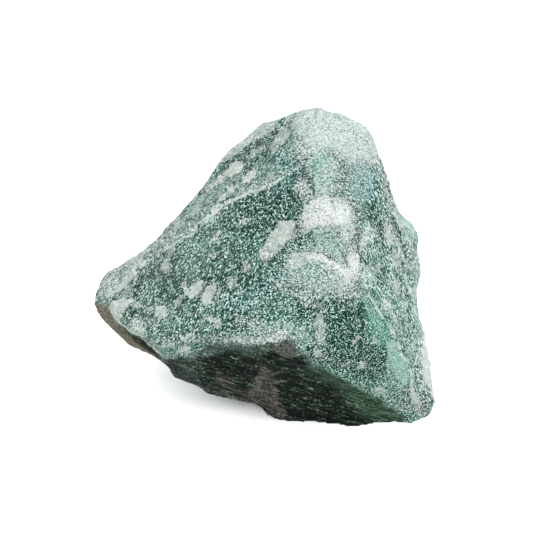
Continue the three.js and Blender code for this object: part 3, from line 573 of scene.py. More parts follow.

# Fine cracks and dark edges, with the depth of each in millimetres. Some of the dark lines are
# painted shadow, under the lip and the rim and at small steps.
cracks = {
    "crown groove": crack(0.7, 0.3, (4.7, 26.4), (3.8, 25.3), (3.8, 24.2), (2.9, 22.2),
        (1.2, 20.6), (0, 19.6)),
    "below the bright peak": crack(0.6, 0.2, (11.3, 6.9), (12.4, 5.5), (13.6, 4.2), (14.6, 3)),
    "chip's right edge": crack(0.8, 0.25, (12.7, 3.6), (13.9, 1.8), (14.4, 0)),
    "small v": crack(0.5, 0.2, (11.4, 11.8), (12, 10.6), (12.1, 9.4)),
    "notch's edge": crack(0.6, 0.25, (4.6, 16.2), (6.4, 17.7), (7.5, 16.4), (8.2, 15),
        (8.2, 13), (7.9, 12.2)),
    "arc over the dome": crack(0.7, 0.25, (-0.6, 0.7), (1.4, 1), (2.7, 2.2), (3.5, 3.2),
        (4.8, 3.2), (6.4, 2.9), (8.7, 2.7), (10.5, 2), (12.1, 1.2)),
    "long patch's right edge": crack(0.75, 0.25, (5.1, 6.7), (3.9, 4.3), (2.7, 2.5)),
    # painted shadow: this line and the next are the shade that the small steps at the pair's edges
    # cast, cut in as shallow grooves
    "between the pair": crack(0.8, 0.2, (-10.9, -2.2), (-11.5, -3.8), (-11.7, -5.2),
        (-12.4, -6.6)),
    "right of the pair": crack(0.7, 0.2, (-7.9, -2.6), (-8, -3.8), (-8.8, -5.1), (-9.1, -6.6)),
    "over the wing pad": crack(0.85, 0.3, (-28, -5.9), (-27.6, -5), (-26.2, -4.4), (-25, -3.9),
        (-23.6, -2.4), (-22.6, -0.8)),
    "edge of the blob": crack(0.6, 0.1, (-16.2, 1.6), (-16.3, 0), (-17, -1.5)),
    # painted shadow under the wing's lip, cut in as a shallow groove
    "under the lip": crack(1, 0.2, (-25.8, -10.7), (-24.2, -11.5), (-22.6, -12.3),
        (-21.2, -13.5), (-20.1, -14.8), (-18.8, -16)),
    "beyond the right ridge": crack(0.6, 0.2, (18, -2.6), (18.5, -5.4), (19.3, -6.9),
        (20.4, -8.3), (21.4, -9.8), (22.8, -11.2), (23.6, -13.2), (24.4, -15.6)),
    "inside the outer ledge": crack(0.7, 0.2, (22.2, 10.2), (22.3, 8.4), (23.2, 6.2), (24, 4),
        (24.6, 2), (24.1, 0), (24.4, -3.2), (25.4, -6)),
    "right face": crack(0.6, 0.2, (19.5, 8.2), (20.2, 6), (20.4, 4), (21.2, 2)),
    "right face 2": crack(0.6, 0.2, (16.4, 2.4), (17, 0.8), (18.4, -0.6), (19.6, -2)),
    "on the dome": crack(0.7, 0.2, (9.3, -7.8), (8.4, -9.4), (7.9, -10.1), (8.6, -11.2),
        (8.4, -12.6), (8.1, -14)),
    "in the green window": crack(0.35, 0.1, (10.6, 13), (12, 15.4)),
    # painted shadow under the rim, cut in as a shallow groove
    "under the rim": crack(0.7, 0.2, (-9, -15), (-5, -14.9), (-1.4, -14.9)),
}

# Low steps. The stone is higher on the left of each line, looking along it.
steps = {
    "long ridge": step(0.45, 1.6, (-17.9, 2.9), (-10.3, 8.4), (-4.7, 11.9), (-1.7, 13.1),
        (1.5, 14.6), (4.7, 16)),
    "wing step": step(0.5, 1.2, (-27.8, -5.9), (-26.4, -4.6), (-24.9, -3.8), (-23, -2),
        (-21.8, 0.2)),
    "long patch": step(0.4, 1.2, (-0.6, 0.7), (1, 1.1), (2.6, 2.4), (3.8, 4.2), (5.1, 6.7)),
    "teal window": step(0.5, 1.4, (13.6, 3.9), (12.4, 5.5), (11.1, 6.7), (9.1, 7.1), (7, 6.5)),
    "dome arc": step(0.45, 1.6, (14.4, -1), (12.6, 0.9), (10.5, 2.4), (8, 3.2), (5, 2.7)),
    "notch": step(0.5, 1, (8.2, 13), (8.5, 14.8), (7.6, 16.2), (6.4, 17.4), (4.8, 16.8)),
    "left of the pair": step(0.35, 0.9, (-12.4, -5.9), (-11.7, -4.4), (-11, -2.6)),
    "right of the pair": step(0.35, 0.9, (-9.6, -6.2), (-8.6, -4.6), (-8.4, -2.9)),
    "crown groove": step(0.5, 1.4, (0.3, 20.6), (1.9, 21.4), (3.6, 23.7), (3.8, 25.2),
        (5, 26.2)),
    "under the dark band": step(0.35, 1, (-12, 12), (-8.2, 15.6), (-5.4, 18.2), (-2.4, 19.6),
        (0.3, 20.6)),
    "right ridge": step(0.4, 1.2, (16.9, -2.4), (18, -4.6), (18.9, -6.6), (20.7, -9.4),
        (22.3, -11.3), (23, -13.1), (23.8, -15.6), (25.2, -18), (25.6, -21), (27, -25)),
    "outer bump": step(0.4, 0.8, (25.9, 3.2), (25.4, 4.4), (24.4, 5.9), (23.7, 6.6),
        (23.2, 8.3), (22.5, 9.3)),
    "outer ledge": step(0.5, 0.8, (27, -10.3), (26.4, -8.2), (25.7, -5.4), (24.9, -3.3),
        (24.5, -0.4), (23.8, 0.2), (22.7, 0.6), (21.9, 1.4)),
    "inner ledge": step(0.3, 0.8, (24.2, -9), (23.2, -5.6), (21.4, -1.6), (20.4, 2.6),
        (20.2, 6.4)),
}

# The patches that the finish reads as attributes of the same names.
patches = {
    "frost": frost, "white": white, "clear": clear, "teal": teal, "vivid": vivid,
    "calm": calm, "deep": deep, "shade": shade, "brown": brown, "weathered": weathered,
    "leanLeft": leanLeft, "leanRight": leanRight,
}


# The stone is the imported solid, remeshed finely, worn smooth and broken again in small relief.
# Lengths are in millimetres.
stoneShape = {
    "voxel": 0.34,
    "smoothPasses": 7,
    "smoothShare": 0.5,
    "flatBelow": 0.12,
    "roughAbove": 0.8,
    "frontSoftness": 0.16,
    "edgeWander": 0.55,
    "edgeWanderSize": 2.2,
    "edgeWanderSeed": 7,
    "fineWander": 0.45,
    "fineWanderTimes": 3.1,
    "lineWander": 0.4,
    "crackHalf": 0.5,
    "stepSoftness": 0.3,
    "reliefSeed": 7,
    "sheetNormal": (-0.12, -0.6, 0.79),  # across the sheets that the rock breaks along
    "hollowNormal": (0.27, 0.52, 0.74),  # across the streaks in the hollows
    "sight": (0, 0.82, -0.57),  # the way that the eye looks
}


def cadCopy():
    mesh = cad.data.copy()
    mesh.name = "stoneBody"
    body = bmesh.new()
    body.from_mesh(mesh)
    bmesh.ops.remove_doubles(body, verts=body.verts, dist=1e-6)
    body.to_mesh(mesh)
    body.free()
    mesh.materials.clear()
    for name in [a.name for a in mesh.attributes if not a.is_required and not a.is_internal]:
        mesh.attributes.remove(mesh.attributes[name])
    stone = bpy.data.objects.new("stoneBody", mesh)
    bpy.context.scene.collection.objects.link(stone)
    return stone


def bake(stone):
    # the evaluated mesh takes the place of the old one, and the modifiers go
    graph = bpy.context.evaluated_depsgraph_get()
    mesh = bpy.data.meshes.new_from_object(stone.evaluated_get(graph))
    old = stone.data
    stone.modifiers.clear()
    stone.data = mesh
    bpy.data.meshes.remove(old)
    mesh.name = "stoneBody"


def placesOf(mesh):
    places = np.empty(len(mesh.vertices) * 3)
    mesh.vertices.foreach_get("co", places)
    return places.reshape(-1, 3)


def normalsOf(mesh):
    normals = np.empty(len(mesh.vertices) * 3)
    mesh.vertex_normals.foreach_get("vector", normals)
    return normals.reshape(-1, 3)


def setPlaces(mesh, places):
    mesh.vertices.foreach_set("co", places.ravel())
    mesh.update()


def remeshFinely(stone):
    remesh = stone.modifiers.new("fine", "REMESH")
    remesh.mode = "VOXEL"
    remesh.voxel_size = stoneShape["voxel"] * mm
    bake(stone)


def wearSmooth(mesh):
    places = placesOf(mesh)
    edges = np.empty(len(mesh.edges) * 2, int)
    mesh.edges.foreach_get("vertices", edges)
    a, b = edges.reshape(-1, 2).T
    count = np.bincount(edges, minlength=len(places))[:, None]
    onGround = places[:, 2] < stoneShape["flatBelow"] * mm
    for _ in range(stoneShape["smoothPasses"]):
        total = np.zeros_like(places)
        for axis in range(3):
            total[:, axis] = np.bincount(a, places[b, axis], len(places))
            total[:, axis] += np.bincount(b, places[a, axis], len(places))
        moved = places + (total / count - places) * stoneShape["smoothShare"]
        moved[onGround] = places[onGround]
        places = moved
    setPlaces(mesh, places)


def wander(places):
    # how far the edges of patches and steps stray from their drawn places, in millimetres
    size = stoneShape["edgeWanderSize"] * mm
    often = stoneShape["fineWanderTimes"]
    noise.seed_set(stoneShape["edgeWanderSeed"])
    stray = np.array([noise.noise_vector(Vector(p) / size) for p in places])
    fine = np.array([noise.noise_vector(Vector(p) / size * often) for p in places])
    return (stray + fine * stoneShape["fineWander"]) * stoneShape["edgeWander"]


def keep(mesh, name, values):
    layer = mesh.attributes.new(name, "FLOAT", "POINT")
    layer.data.foreach_set("value", values.astype(np.float32))


def drawFront(mesh):
    # the patches become attributes for the material, and the steps and cracks move the surface
    places = placesOf(mesh)
    normals = normalsOf(mesh)
    x, y = asSeen(places)
    stray = wander(places)
    lineX = x + stray[:, 0] * stoneShape["lineWander"]
    lineY = y + stray[:, 1] * stoneShape["lineWander"]
    x = x + stray[:, 0]
    y = y + stray[:, 1]
    front = smoothStep(0, stoneShape["frontSoftness"], facingEye(normals))
    keep(mesh, "front", front)
    for name, shapes in patches.items():
        bare = np.ones(len(places))
        for shape in shapes.values():
            bare *= 1 - maskOf(x, y, shape)
        keep(mesh, name, (1 - bare) * front)
    for name, shapes in (("chip", chips), ("paleLine", paleLines), ("crack", cracks)):
        gap, share = nearestOf(lineX, lineY, shapes)
        keep(mesh, name + "Gap", gap)
        keep(mesh, name + "Share", share * front)
    raised = np.zeros(len(places))
    for shape in cracks.values():
        gap = fromLine(lineX, lineY, shape["line"])[0]
        raised -= smoothStep(stoneShape["crackHalf"], 0, gap) * shape["depth"]
    for shape in steps.values():
        gap, side = fromLine(lineX, lineY, shape["line"])
        side = side * smoothStep(0, stoneShape["stepSoftness"], gap)
        raised += side * shape["height"] / 2 * np.exp(-gap / shape["reach"])
    setPlaces(mesh, places + normals * (raised * front)[:, None] * mm)


# Node trees: addNode makes a node with its settings and inputs; the rest are short forms of it.
def addNode(tree, kind, inputs=None, **settings):
    node = tree.nodes.new(kind)
    for name, value in settings.items():
        setattr(node, name, value)
    for key, value in (inputs or {}).items():
        if isinstance(value, bpy.types.NodeSocket):
            tree.links.new(value, node.inputs[key])
        else:
            node.inputs[key].default_value = value
    return node


def calc(tree, operation):
    # a function that adds one kind of sum to the tree
    def work(*values):
        values = dict(enumerate(values))
        return addNode(tree, "ShaderNodeMath", values, operation=operation).outputs[0]
    return work


def vectorCalc(tree, operation, a, b=None, scale=None):
    values = {0: a}
    if b is not None:
        values[1] = b
    if scale is not None:
        values["Scale"] = scale
    node = addNode(tree, "ShaderNodeVectorMath", values, operation=operation)
    return node.outputs["Value" if operation == "DOT_PRODUCT" else "Vector"]


def ramp(tree, value, low, high, fromLow=0.0, fromHigh=1.0):
    # smooth from fromLow at low to fromHigh at high
    node = addNode(tree, "ShaderNodeMapRange", {
        "Value": value, "From Min": low, "From Max": high, "To Min": fromLow, "To Max": fromHigh,
    }, interpolation_type="SMOOTHSTEP")
    return node.outputs[0]


# The relief that the rock breaks into, made by nodes over the whole stone, in millimetres.
relief = {
    "Chip Size": 4.2,
    "Chip Depth": 0.7,
    "Chip Stray": 3.0,
    "Chip Stray Size": 3.0,
    "Chip Patches": 8.0,
    "Sheet Spacing": 1.3,
    "Sheet Depth": 0.3,
    "Sheet Stray": 2.4,
    "Sheet Stray Size": 5.0,
    "Sheet Patches": 3.5,
    "Lump Size": 2.6,
    "Lump Depth": 0.38,
    "Grain Size": 0.9,
    "Grain Depth": 0.22,
    "Pit Size": 3.4,
    "Pit Depth": 0.18,
}


def reliefTree():
    tree = bpy.data.node_groups.new("stoneRelief", "GeometryNodeTree")
    face = tree.interface
    face.new_socket("Geometry", in_out="INPUT", socket_type="NodeSocketGeometry")
    for name in relief:
        face.new_socket(name, in_out="INPUT", socket_type="NodeSocketFloat")
    face.new_socket("Seed", in_out="INPUT", socket_type="NodeSocketInt")
    face.new_socket("Material", in_out="INPUT", socket_type="NodeSocketMaterial")
    face.new_socket("Geometry", in_out="OUTPUT", socket_type="NodeSocketGeometry")
    times, plus, minus = calc(tree, "MULTIPLY"), calc(tree, "ADD"), calc(tree, "SUBTRACT")
    divide, fraction, absolute = calc(tree, "DIVIDE"), calc(tree, "FRACT"), calc(tree, "ABSOLUTE")
    given = addNode(tree, "NodeGroupInput").outputs
    normal = addNode(tree, "GeometryNodeInputNormal").outputs[0]
    position = addNode(tree, "GeometryNodeInputPosition").outputs[0]
    place = vectorCalc(tree, "SCALE", position, scale=1 / mm)
    shift = addNode(tree, "ShaderNodeCombineXYZ", {"X": given["Seed"]}).outputs[0]
    place = vectorCalc(tree, "ADD", place, shift)

    def noiseAt(size, detail, output=0):
        return addNode(tree, "ShaderNodeTexNoise", {
            "Vector": place, "Scale": divide(1.0, given[size]), "Detail": detail,
        }).outputs[output]

    def cellsAt(where, size):
        scale = divide(1.0, given[size])
        return addNode(tree, "ShaderNodeTexVoronoi", {"Vector": where, "Scale": scale}).outputs

    # shallow chips that meet in low edges
    stray = vectorCalc(tree, "SUBTRACT", noiseAt("Chip Stray Size", 2.0, 1), (0.5, 0.5, 0.5))
    stray = vectorCalc(tree, "SCALE", stray, scale=given["Chip Stray"])
    reach = cellsAt(vectorCalc(tree, "ADD", place, stray), "Chip Size")["Distance"]
    some = ramp(tree, noiseAt("Chip Patches", 1.0), 0.4, 0.6)
    chipped = times(times(times(reach, reach), some), given["Chip Depth"])

    # low steps where the face crosses the sheets
    sheets = tuple(Vector(stoneShape["sheetNormal"]).normalized())
    stray = times(minus(noiseAt("Sheet Stray Size", 2.0), 0.5), given["Sheet Stray"])
    across = plus(vectorCalc(tree, "DOT_PRODUCT", place, sheets), stray)
    saw = minus(fraction(divide(across, given["Sheet Spacing"])), 0.5)
    along = absolute(vectorCalc(tree, "DOT_PRODUCT", normal, sheets))
    broken = ramp(tree, noiseAt("Sheet Patches", 1.0), 0.38, 0.6)
    ledge = times(times(times(saw, ramp(tree, along, 0.85, 0.35)), broken), given["Sheet Depth"])

    # scattered shallow pits
    cell = cellsAt(place, "Pit Size")
    own = addNode(tree, "FunctionNodeSeparateColor", {0: cell["Color"]}).outputs[0]
    hole = times(ramp(tree, cell["Distance"], 0.3, 0.08), ramp(tree, own, 0.55, 0.95))
    pit = times(hole, given["Pit Depth"])

    lump = times(minus(noiseAt("Lump Size", 2.0), 0.5), given["Lump Depth"])
    rough = times(minus(noiseAt("Grain Size", 1.0), 0.5), given["Grain Depth"])
    total = plus(plus(lump, rough), minus(chipped, 0.1))
    total = minus(plus(total, ledge), pit)

    # the face that the stone rests on stays flat
    height = addNode(tree, "ShaderNodeSeparateXYZ", {0: position}).outputs[2]
    free = ramp(tree, height, stoneShape["flatBelow"] * mm, stoneShape["roughAbove"] * mm)
    total = times(times(total, free), mm)
    moved = addNode(tree, "GeometryNodeSetPosition", {
        "Geometry": given["Geometry"], "Offset": vectorCalc(tree, "SCALE", normal, scale=total),
    }).outputs[0]
    real = addNode(tree, "GeometryNodeRealizeInstances", {0: moved}).outputs[0]
    covered = addNode(tree, "GeometryNodeSetMaterial", {
        "Geometry": real, "Material": given["Material"]}).outputs[0]
    addNode(tree, "NodeGroupOutput", {"Geometry": covered})
    return tree


def breakSurface(stone, material):
    tree = reliefTree()
    nodes = stone.modifiers.new("relief", "NODES")
    nodes.node_group = tree
    values = dict(relief, Seed=stoneShape["reliefSeed"], Material=material)
    for socket in tree.interface.items_tree:
        if socket.in_out == "INPUT" and socket.name in values:
            nodes[socket.identifier] = values[socket.name]
    bake(stone)


def fitInside(mesh):
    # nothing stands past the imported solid's box, and the resting face is flat
    low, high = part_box("stone")
    places = placesOf(mesh)
    flat = places[:, 2] < stoneShape["flatBelow"] * mm
    places[flat, 2] = 0
    setPlaces(mesh, np.clip(places, np.array(low), np.array(high)))


# Colours as the screen shows them, 0 to 255.
tones = {
    "gap": (22, 50, 42),
    "deepGap": (0, 26, 18),
    "deepest": (14, 60, 49),
    "deepGreen": (42, 88, 77),
    "midGreen": (72, 120, 107),
    "calmGreen": (106, 134, 121),
    "flankGreen": (90, 116, 101),
    "flankPale": (163, 179, 168),
    "clot": (142, 186, 175),
    "grain": (146, 196, 184),
    "vividGap": (0, 48, 35),
    "tealGap": (0, 60, 56),
    "vividGrain": (113, 195, 167),
    "tealGrain": (120, 198, 190),
    "brightGrain": (232, 250, 246),
    "frost": (212, 227, 222),
    "frostDim": (185, 204, 194),
    "mintFrost": (188, 222, 207),
    "tealFrost": (170, 204, 202),
    "white": (250, 253, 252),
    "clear": (178, 208, 194),
    "clearVein": (214, 232, 224),
    "teal": (80, 156, 151),
    "vivid": (86, 172, 141),
    "brown": (57, 58, 51),
    "brownGrain": (124, 122, 112),
    "weathered": (103, 100, 87),
    "weatheredPale": (148, 143, 130),
    # painted shade in the hollows: darkened copies of the stone's greens and pale streaks, the
    # palest with painted glints
    "shade": (5, 14, 9),
    "shadeGrain": (80, 104, 86),
    "shadeGlint": (150, 164, 148),
    "shadeMoss": (40, 68, 50),
    "shadeGreen": (106, 146, 116),
    "chip": (209, 217, 211),
    "chipDim": (182, 195, 187),
    "paleLine": (222, 236, 229),
    "crack": (44, 72, 64),
}


def tone(name):
    def linear(value):
        share = value / 255
        return share / 12.92 if share <= 0.04045 else ((share + 0.055) / 1.055) ** 2.4
    return tuple(linear(value) / studio["level"] for value in tones[name]) + (1,)


# The stone's finish: green rock with dense pale grains, flattened along the sheets, under frosty
# patches that break up at their edges, and pools of clearer stone.
grain = {
    "size": 0.248,
    "leaningSize": 0.178,
    "rim": 0.72,
    "core": 0.34,
    "fineShare": 0.6,
    "flatten": 1.6,
    "leftWay": (0.57, 0.47, 0.67),
    "rightWay": (-0.4, 0.53, 0.75),
    "alongShare": 0.4,
    "rightGain": 1.2,
    "sightShare": 0.5,
    "streakFlatten": 7,
    "offset": -2.12,
    "paleSpread": 3.95,
    "dimSpread": 2.5,
    "noiseSpread": 0.078,
    "threadShare": 1.9,
    "threadWidth": 0.15,
    "threadSpread": 3.8,
    "driftSize": 2.2,
    "drift": 0.5,
    "calmLoss": 0.45,
    "deepLoss": 0.86,
    "frostBreak": 0.165,
    "clearBreak": 0.18,
    "height": 0.05,
}


# The rest of the finish. Most pairs are where a soft change begins and ends.
finish = {
    "ior": 1.53,
    "specular": 0.045,
    "roughness": (0.48, 0.6),
    "glossGrains": (-1.5, 1.5),
    "lineUneven": 0.7,
    "chipRagged": 0.06,
    "strewnCells": 0.38,  # chips to a millimetre, of which few are chosen
    "strewnStray": 3.4,
    "strewnStrayCells": 0.7,
    "strewnChosen": (0.83, 0.85),
    "strewnEdge": (0.1, 0.16),
    "hiddenShow": 0.8,
    "crest": (44.5, 47.5),  # heights between which hidden frost comes in
    "crestStray": 12.0,
    "clearLoss": 0.45,
    "streakContrast": (24.0, 42.0),
}

# Soft clouds that vary the finish: size in millimetres, detail, roughness, distortion, and the
# values at which they begin and are full.
clouds = {
    "rock": (5.0, 3.0, 0.5, 0.0, 0.35, 0.65),
    "quiet": (3.4, 2.0, 0.5, 0.0, 0.42, 0.62),
    "flank": (0.9, 3.0, 0.6, 0.0, 0.4, 0.62),
    "clot": (1.5, 3.0, 0.6, 0.0, 0.54, 0.64),
    "vein": (1.3, 3.0, 0.6, 1.2, 0.5, 0.66),
    "frost": (1.6, 3.0, 0.6, 0.0, 0.4, 0.62),
    "chip": (0.9, 3.0, 0.6, 0.0, 0.4, 0.62),
    "brokenLine": (1.6, 2.0, 0.5, 0.0, 0.36, 0.56),
    "hiddenFrost": (7.0, 3.0, 0.5, 0.0, 0.54, 0.64),
    "hiddenBlobs": (2.4, 1.0, 0.5, 0.0, 0.64, 0.7),
    "hiddenDark": (9.0, 2.0, 0.5, 0.0, 0.45, 0.35),
}

# Half the width of each kind of thin line, in millimetres, and how much of it shows.
thinLines = {
    "crack": (0.16, 0.75),
    "paleLine": (0.19, 0.9),
}

# From which grain level to which a tone comes in, and how much of it.
levels = {
    "rockGap": (-0.8, -2.2, 0.95),
    "rockGrain": (0.45, 1.4, 1.0),
    "rockBright": (1.2, 2.4, 1.0),
    "poolBright": (0.5, 2.6, 0.62),
    "poolDim": (-0.8, -2.8, 0.36),
    "frostWhite": (0.1, 2.4, 0.56),
    "frostDim": (-0.5, -3.0, 0.24),
    "chipWhite": (0.4, 2.0, 0.5),
    "chipDim": (-0.6, -2.6, 0.3),
}

# From which streak level to which each tone comes in, in the hollows, the weathered stone and
# the stain.
streaks = {
    "weathered": (-2.0, 2.5),
    "grain": (0.0, 3.2),
    "moss": (-2.0, 3.0),
    "glint": (2.6, 5.0),
    "stain": (-1.0, 2.2),
}


def makeStoneFinish():
    material = bpy.data.materials.new("greenStone")
    material.use_nodes = True
    tree = material.node_tree
    tree.nodes.clear()
    times, plus, minus = calc(tree, "MULTIPLY"), calc(tree, "ADD"), calc(tree, "SUBTRACT")
    divide, most, absolute = calc(tree, "DIVIDE"), calc(tree, "MAXIMUM"), calc(tree, "ABSOLUTE")
    place = addNode(tree, "ShaderNodeTexCoord").outputs["Object"]
    place = vectorCalc(tree, "SCALE", place, scale=1 / mm)

    def pressed(where, way, amount):
        # grains get shorter along the way with more than 1, and longer with less
        way = tuple(Vector(way).normalized())
        shift = times(vectorCalc(tree, "DOT_PRODUCT", where, way), amount - 1)
        return vectorCalc(tree, "ADD", where, vectorCalc(tree, "SCALE", way, scale=shift))

    def noiseAt(where, size, detail=2.0, roughness=0.5, distortion=0.0):
        return addNode(tree, "ShaderNodeTexNoise", {
            "Vector": where, "Scale": 1 / size, "Detail": detail, "Roughness": roughness,
            "Distortion": distortion,
        }).outputs[0]

    def cloud(name, where=place):
        *look, low, high = clouds[name]
        return ramp(tree, noiseAt(where, *look), low, high)

    def layer(name):
        return addNode(tree, "ShaderNodeAttribute", attribute_name=name).outputs["Fac"]

    def mix(share, a, b):
        # a and b are colours in the tree or the names of tones
        a, b = (tone(c) if isinstance(c, str) else c for c in (a, b))
        return addNode(tree, "ShaderNodeMix", {0: share, 6: a, 7: b}, data_type="RGBA").outputs[2]

    def tinted(base, **tints):
        # each layer that is named brings its tone
        for name, tint in tints.items():
            base = mix(layer(name), base, tint)
        return base

    grainPlace = pressed(place, stoneShape["sheetNormal"], grain["flatten"])
    streakPlace = pressed(place, stoneShape["hollowNormal"], grain["streakFlatten"])
    deepPlace = pressed(place, stoneShape["sight"], grain["sightShare"])
    leftPlace = pressed(deepPlace, grain["leftWay"], grain["alongShare"])
    rightPlace = pressed(deepPlace, grain["rightWay"], grain["alongShare"])

    def grains(where, size):
        # pale grains of uneven brightness, a few dark ones and short winding threads, on rock that
        # is a little uneven: the levels are mostly -2 to 3
        cell = addNode(tree, "ShaderNodeTexVoronoi", {"Vector": where, "Scale": 1 / size}).outputs
        own = addNode(tree, "ShaderNodeSeparateColor", {0: cell["Color"]}).outputs
        core = ramp(tree, cell["Distance"], grain["rim"], grain["core"])
        pale = times(times(core, ramp(tree, own[0], 0.0, 0.9)), grain["paleSpread"])
        dim = times(times(core, ramp(tree, own[1], 0.6, 0.9)), -grain["dimSpread"])
        fine = plus(noiseAt(where, size * grain["fineShare"], 1.0), -0.5)
        fine = plus(divide(fine, grain["noiseSpread"]), grain["offset"])
        wide = size * grain["threadShare"]
        away = absolute(plus(noiseAt(where, wide, 1.0), -0.5))
        some = ramp(tree, noiseAt(where, wide * 0.8), 0.4, 0.6)
        winding = times(ramp(tree, away, grain["threadWidth"], 0.0), some)
        return plus(plus(plus(pale, dim), times(winding, grain["threadSpread"])), fine)

    # sides that the front drawing doesn't reach get patches of their own
    hidden = minus(1.0, layer("front"))
    height = addNode(tree, "ShaderNodeSeparateXYZ", {0: place}).outputs[2]
    crest = plus(height, times(noiseAt(place, 3.0, 3.0), finish["crestStray"]))
    crest = ramp(tree, crest, *finish["crest"])
    own = most(crest, most(cloud("hiddenFrost", grainPlace), cloud("hiddenBlobs", grainPlace)))
    frosty = most(layer("frost"), times(times(own, hidden), finish["hiddenShow"]))
    frosty = plus(frosty, times(layer("clear"), -finish["clearLoss"]))
    dark = most(layer("deep"), times(cloud("hiddenDark", grainPlace), hidden))

    # the grains lie along the slopes on both sides of the dome
    middle = minus(minus(1.0, layer("leanLeft")), layer("leanRight"))
    right = times(grains(rightPlace, grain["leaningSize"]), layer("leanRight"))
    level = times(plus(times(grains(grainPlace, grain["size"]), middle), right), grain["rightGain"])
    level = plus(level, times(grains(leftPlace, grain["leaningSize"]), layer("leanLeft")))
    drift = times(plus(noiseAt(grainPlace, grain["driftSize"], 4.0, 0.6), -0.5), grain["drift"])
    quiet = most(layer("calm"), times(cloud("quiet"), 0.2))
    level = times(level, minus(1.0, times(quiet, grain["calmLoss"])))
    over = plus(plus(level, drift), times(dark, -grain["deepLoss"]))

    def shown(name):
        low, high, share = levels[name]
        return times(ramp(tree, over, low, high), share)

    # green rock between the patches
    rock = mix(cloud("rock"), "deepGreen", "midGreen")
    rock = mix(times(layer("calm"), 0.8), rock, "calmGreen")
    flankPlace = pressed(leftPlace, grain["leftWay"], 0.35)
    flank = mix(cloud("flank", flankPlace), "flankGreen", "flankPale")
    rock = mix(times(times(layer("calm"), layer("leanLeft")), 0.7), rock, flank)
    rock = tinted(rock, teal="teal", vivid="vivid")
    rock = mix(times(dark, 0.82), rock, "deepest")
    rock = mix(times(cloud("clot", grainPlace), 0.35), rock, "clot")
    gap = tinted(mix(dark, "gap", "deepGap"), vivid="vividGap", teal="tealGap")
    rock = mix(shown("rockGap"), rock, gap)
    pale = tinted("grain", vivid="vividGrain", teal="tealGrain")
    rock = mix(shown("rockGrain"), rock, pale)
    rock = mix(shown("rockBright"), rock, "brightGrain")

    # pools of clearer stone, with a few pale veins and grains
    pool = mix(times(cloud("vein"), 0.7), "clear", "clearVein")
    pool = mix(times(layer("vivid"), 0.55), pool, "vivid")
    pool = mix(times(layer("teal"), 0.4), pool, "teal")
    pool = mix(shown("poolBright"), pool, "brightGrain")
    pool = mix(shown("poolDim"), pool, "midGreen")
    pools = layer("clear")
    poolShow = ramp(tree, plus(pools, times(times(over, pools), grain["clearBreak"])), 0.05, 0.9)

    # frost over both
    cover = mix(cloud("frost"), "frost", "frostDim")
    cover = tinted(cover, teal="tealFrost", vivid="mintFrost", white="white")
    cover = mix(shown("frostWhite"), cover, "white")
    cover = mix(shown("frostDim"), cover, "midGreen")
    breaks = times(over, times(ramp(tree, frosty, 0.0, 0.3), grain["frostBreak"]))
    coverShow = ramp(tree, plus(frosty, breaks), 0.0, 0.95)
    surface = mix(coverShow, mix(poolShow, rock, pool), cover)

    # chips and lenses with clean, ragged edges, drawn on the front and strewn over the rest
    ragged = plus(noiseAt(place, 0.6, 3.0, 0.6), -0.5)
    ragged = plus(ragged, times(over, -finish["chipRagged"]))
    drawn = times(ramp(tree, plus(layer("chipGap"), ragged), 0.2, 0.02), layer("chipShare"))
    stray = addNode(tree, "ShaderNodeTexNoise", {
        "Vector": place, "Scale": finish["strewnStrayCells"], "Detail": 3.0}).outputs["Color"]
    stray = vectorCalc(tree, "SCALE", stray, scale=finish["strewnStray"])
    cells = {"Vector": vectorCalc(tree, "ADD", grainPlace, stray), "Scale": finish["strewnCells"]}
    own = addNode(tree, "ShaderNodeTexVoronoi", cells).outputs["Color"]
    own = addNode(tree, "ShaderNodeSeparateColor", {0: own}).outputs[1]
    border = addNode(tree, "ShaderNodeTexVoronoi", cells, feature="DISTANCE_TO_EDGE")
    border = plus(border.outputs["Distance"], times(ragged, 0.3))
    strewn = ramp(tree, own, *finish["strewnChosen"])
    strewn = times(strewn, ramp(tree, border, *finish["strewnEdge"]))
    strewn = times(strewn, ramp(tree, hidden, 0.0, 1.0, 0.0, finish["hiddenShow"]))
    chipFace = mix(cloud("chip"), "chip", "chipDim")
    chipFace = mix(shown("chipWhite"), chipFace, "white")
    chipFace = mix(shown("chipDim"), chipFace, "midGreen")
    surface = mix(most(drawn, strewn), surface, chipFace)

    # weathered stone, the hollows in painted shade over dark streaked stone, and brown stain
    streak = times(noiseAt(streakPlace, 2.4, 5.0, 0.85), 0.72)
    streak = plus(streak, times(noiseAt(place, 0.4), 0.28))
    much = ramp(tree, noiseAt(place, 2.8), 0.35, 0.65, *finish["streakContrast"])
    streak = plus(times(plus(streak, -0.5), much), times(level, 0.16))
    wornShow = ramp(tree, plus(streak, level), *streaks["weathered"])
    worn = mix(wornShow, "weathered", "weatheredPale")
    surface = mix(layer("weathered"), surface, worn)
    hollow = mix(ramp(tree, streak, *streaks["grain"]), "shade", "shadeGrain")
    mossy = mix(ramp(tree, streak, *streaks["moss"]), "shadeMoss", "shadeGreen")
    hollow = mix(times(layer("vivid"), 0.8), hollow, mossy)
    hollow = mix(ramp(tree, streak, *streaks["glint"]), hollow, "shadeGlint")
    surface = mix(layer("shade"), surface, hollow)
    stain = mix(ramp(tree, streak, *streaks["stain"]), "brown", "brownGrain")
    stained = layer("brown")
    stainShow = ramp(tree, plus(stained, times(times(streak, stained), 0.12)), 0.2, 0.9)
    surface = mix(stainShow, surface, stain)

    # cracks and thin pale lines, uneven in width and broken
    uneven = times(plus(noiseAt(place, 0.8, 3.0, 0.6), -0.5), -finish["lineUneven"])
    broken = cloud("brokenLine")
    for name, (half, amount) in thinLines.items():
        away = plus(absolute(layer(name + "Gap")), uneven)
        show = times(ramp(tree, away, half * 1.7, half * 0.2), broken)
        show = times(show, layer(name + "Share"))
        surface = mix(times(show, amount), surface, name)

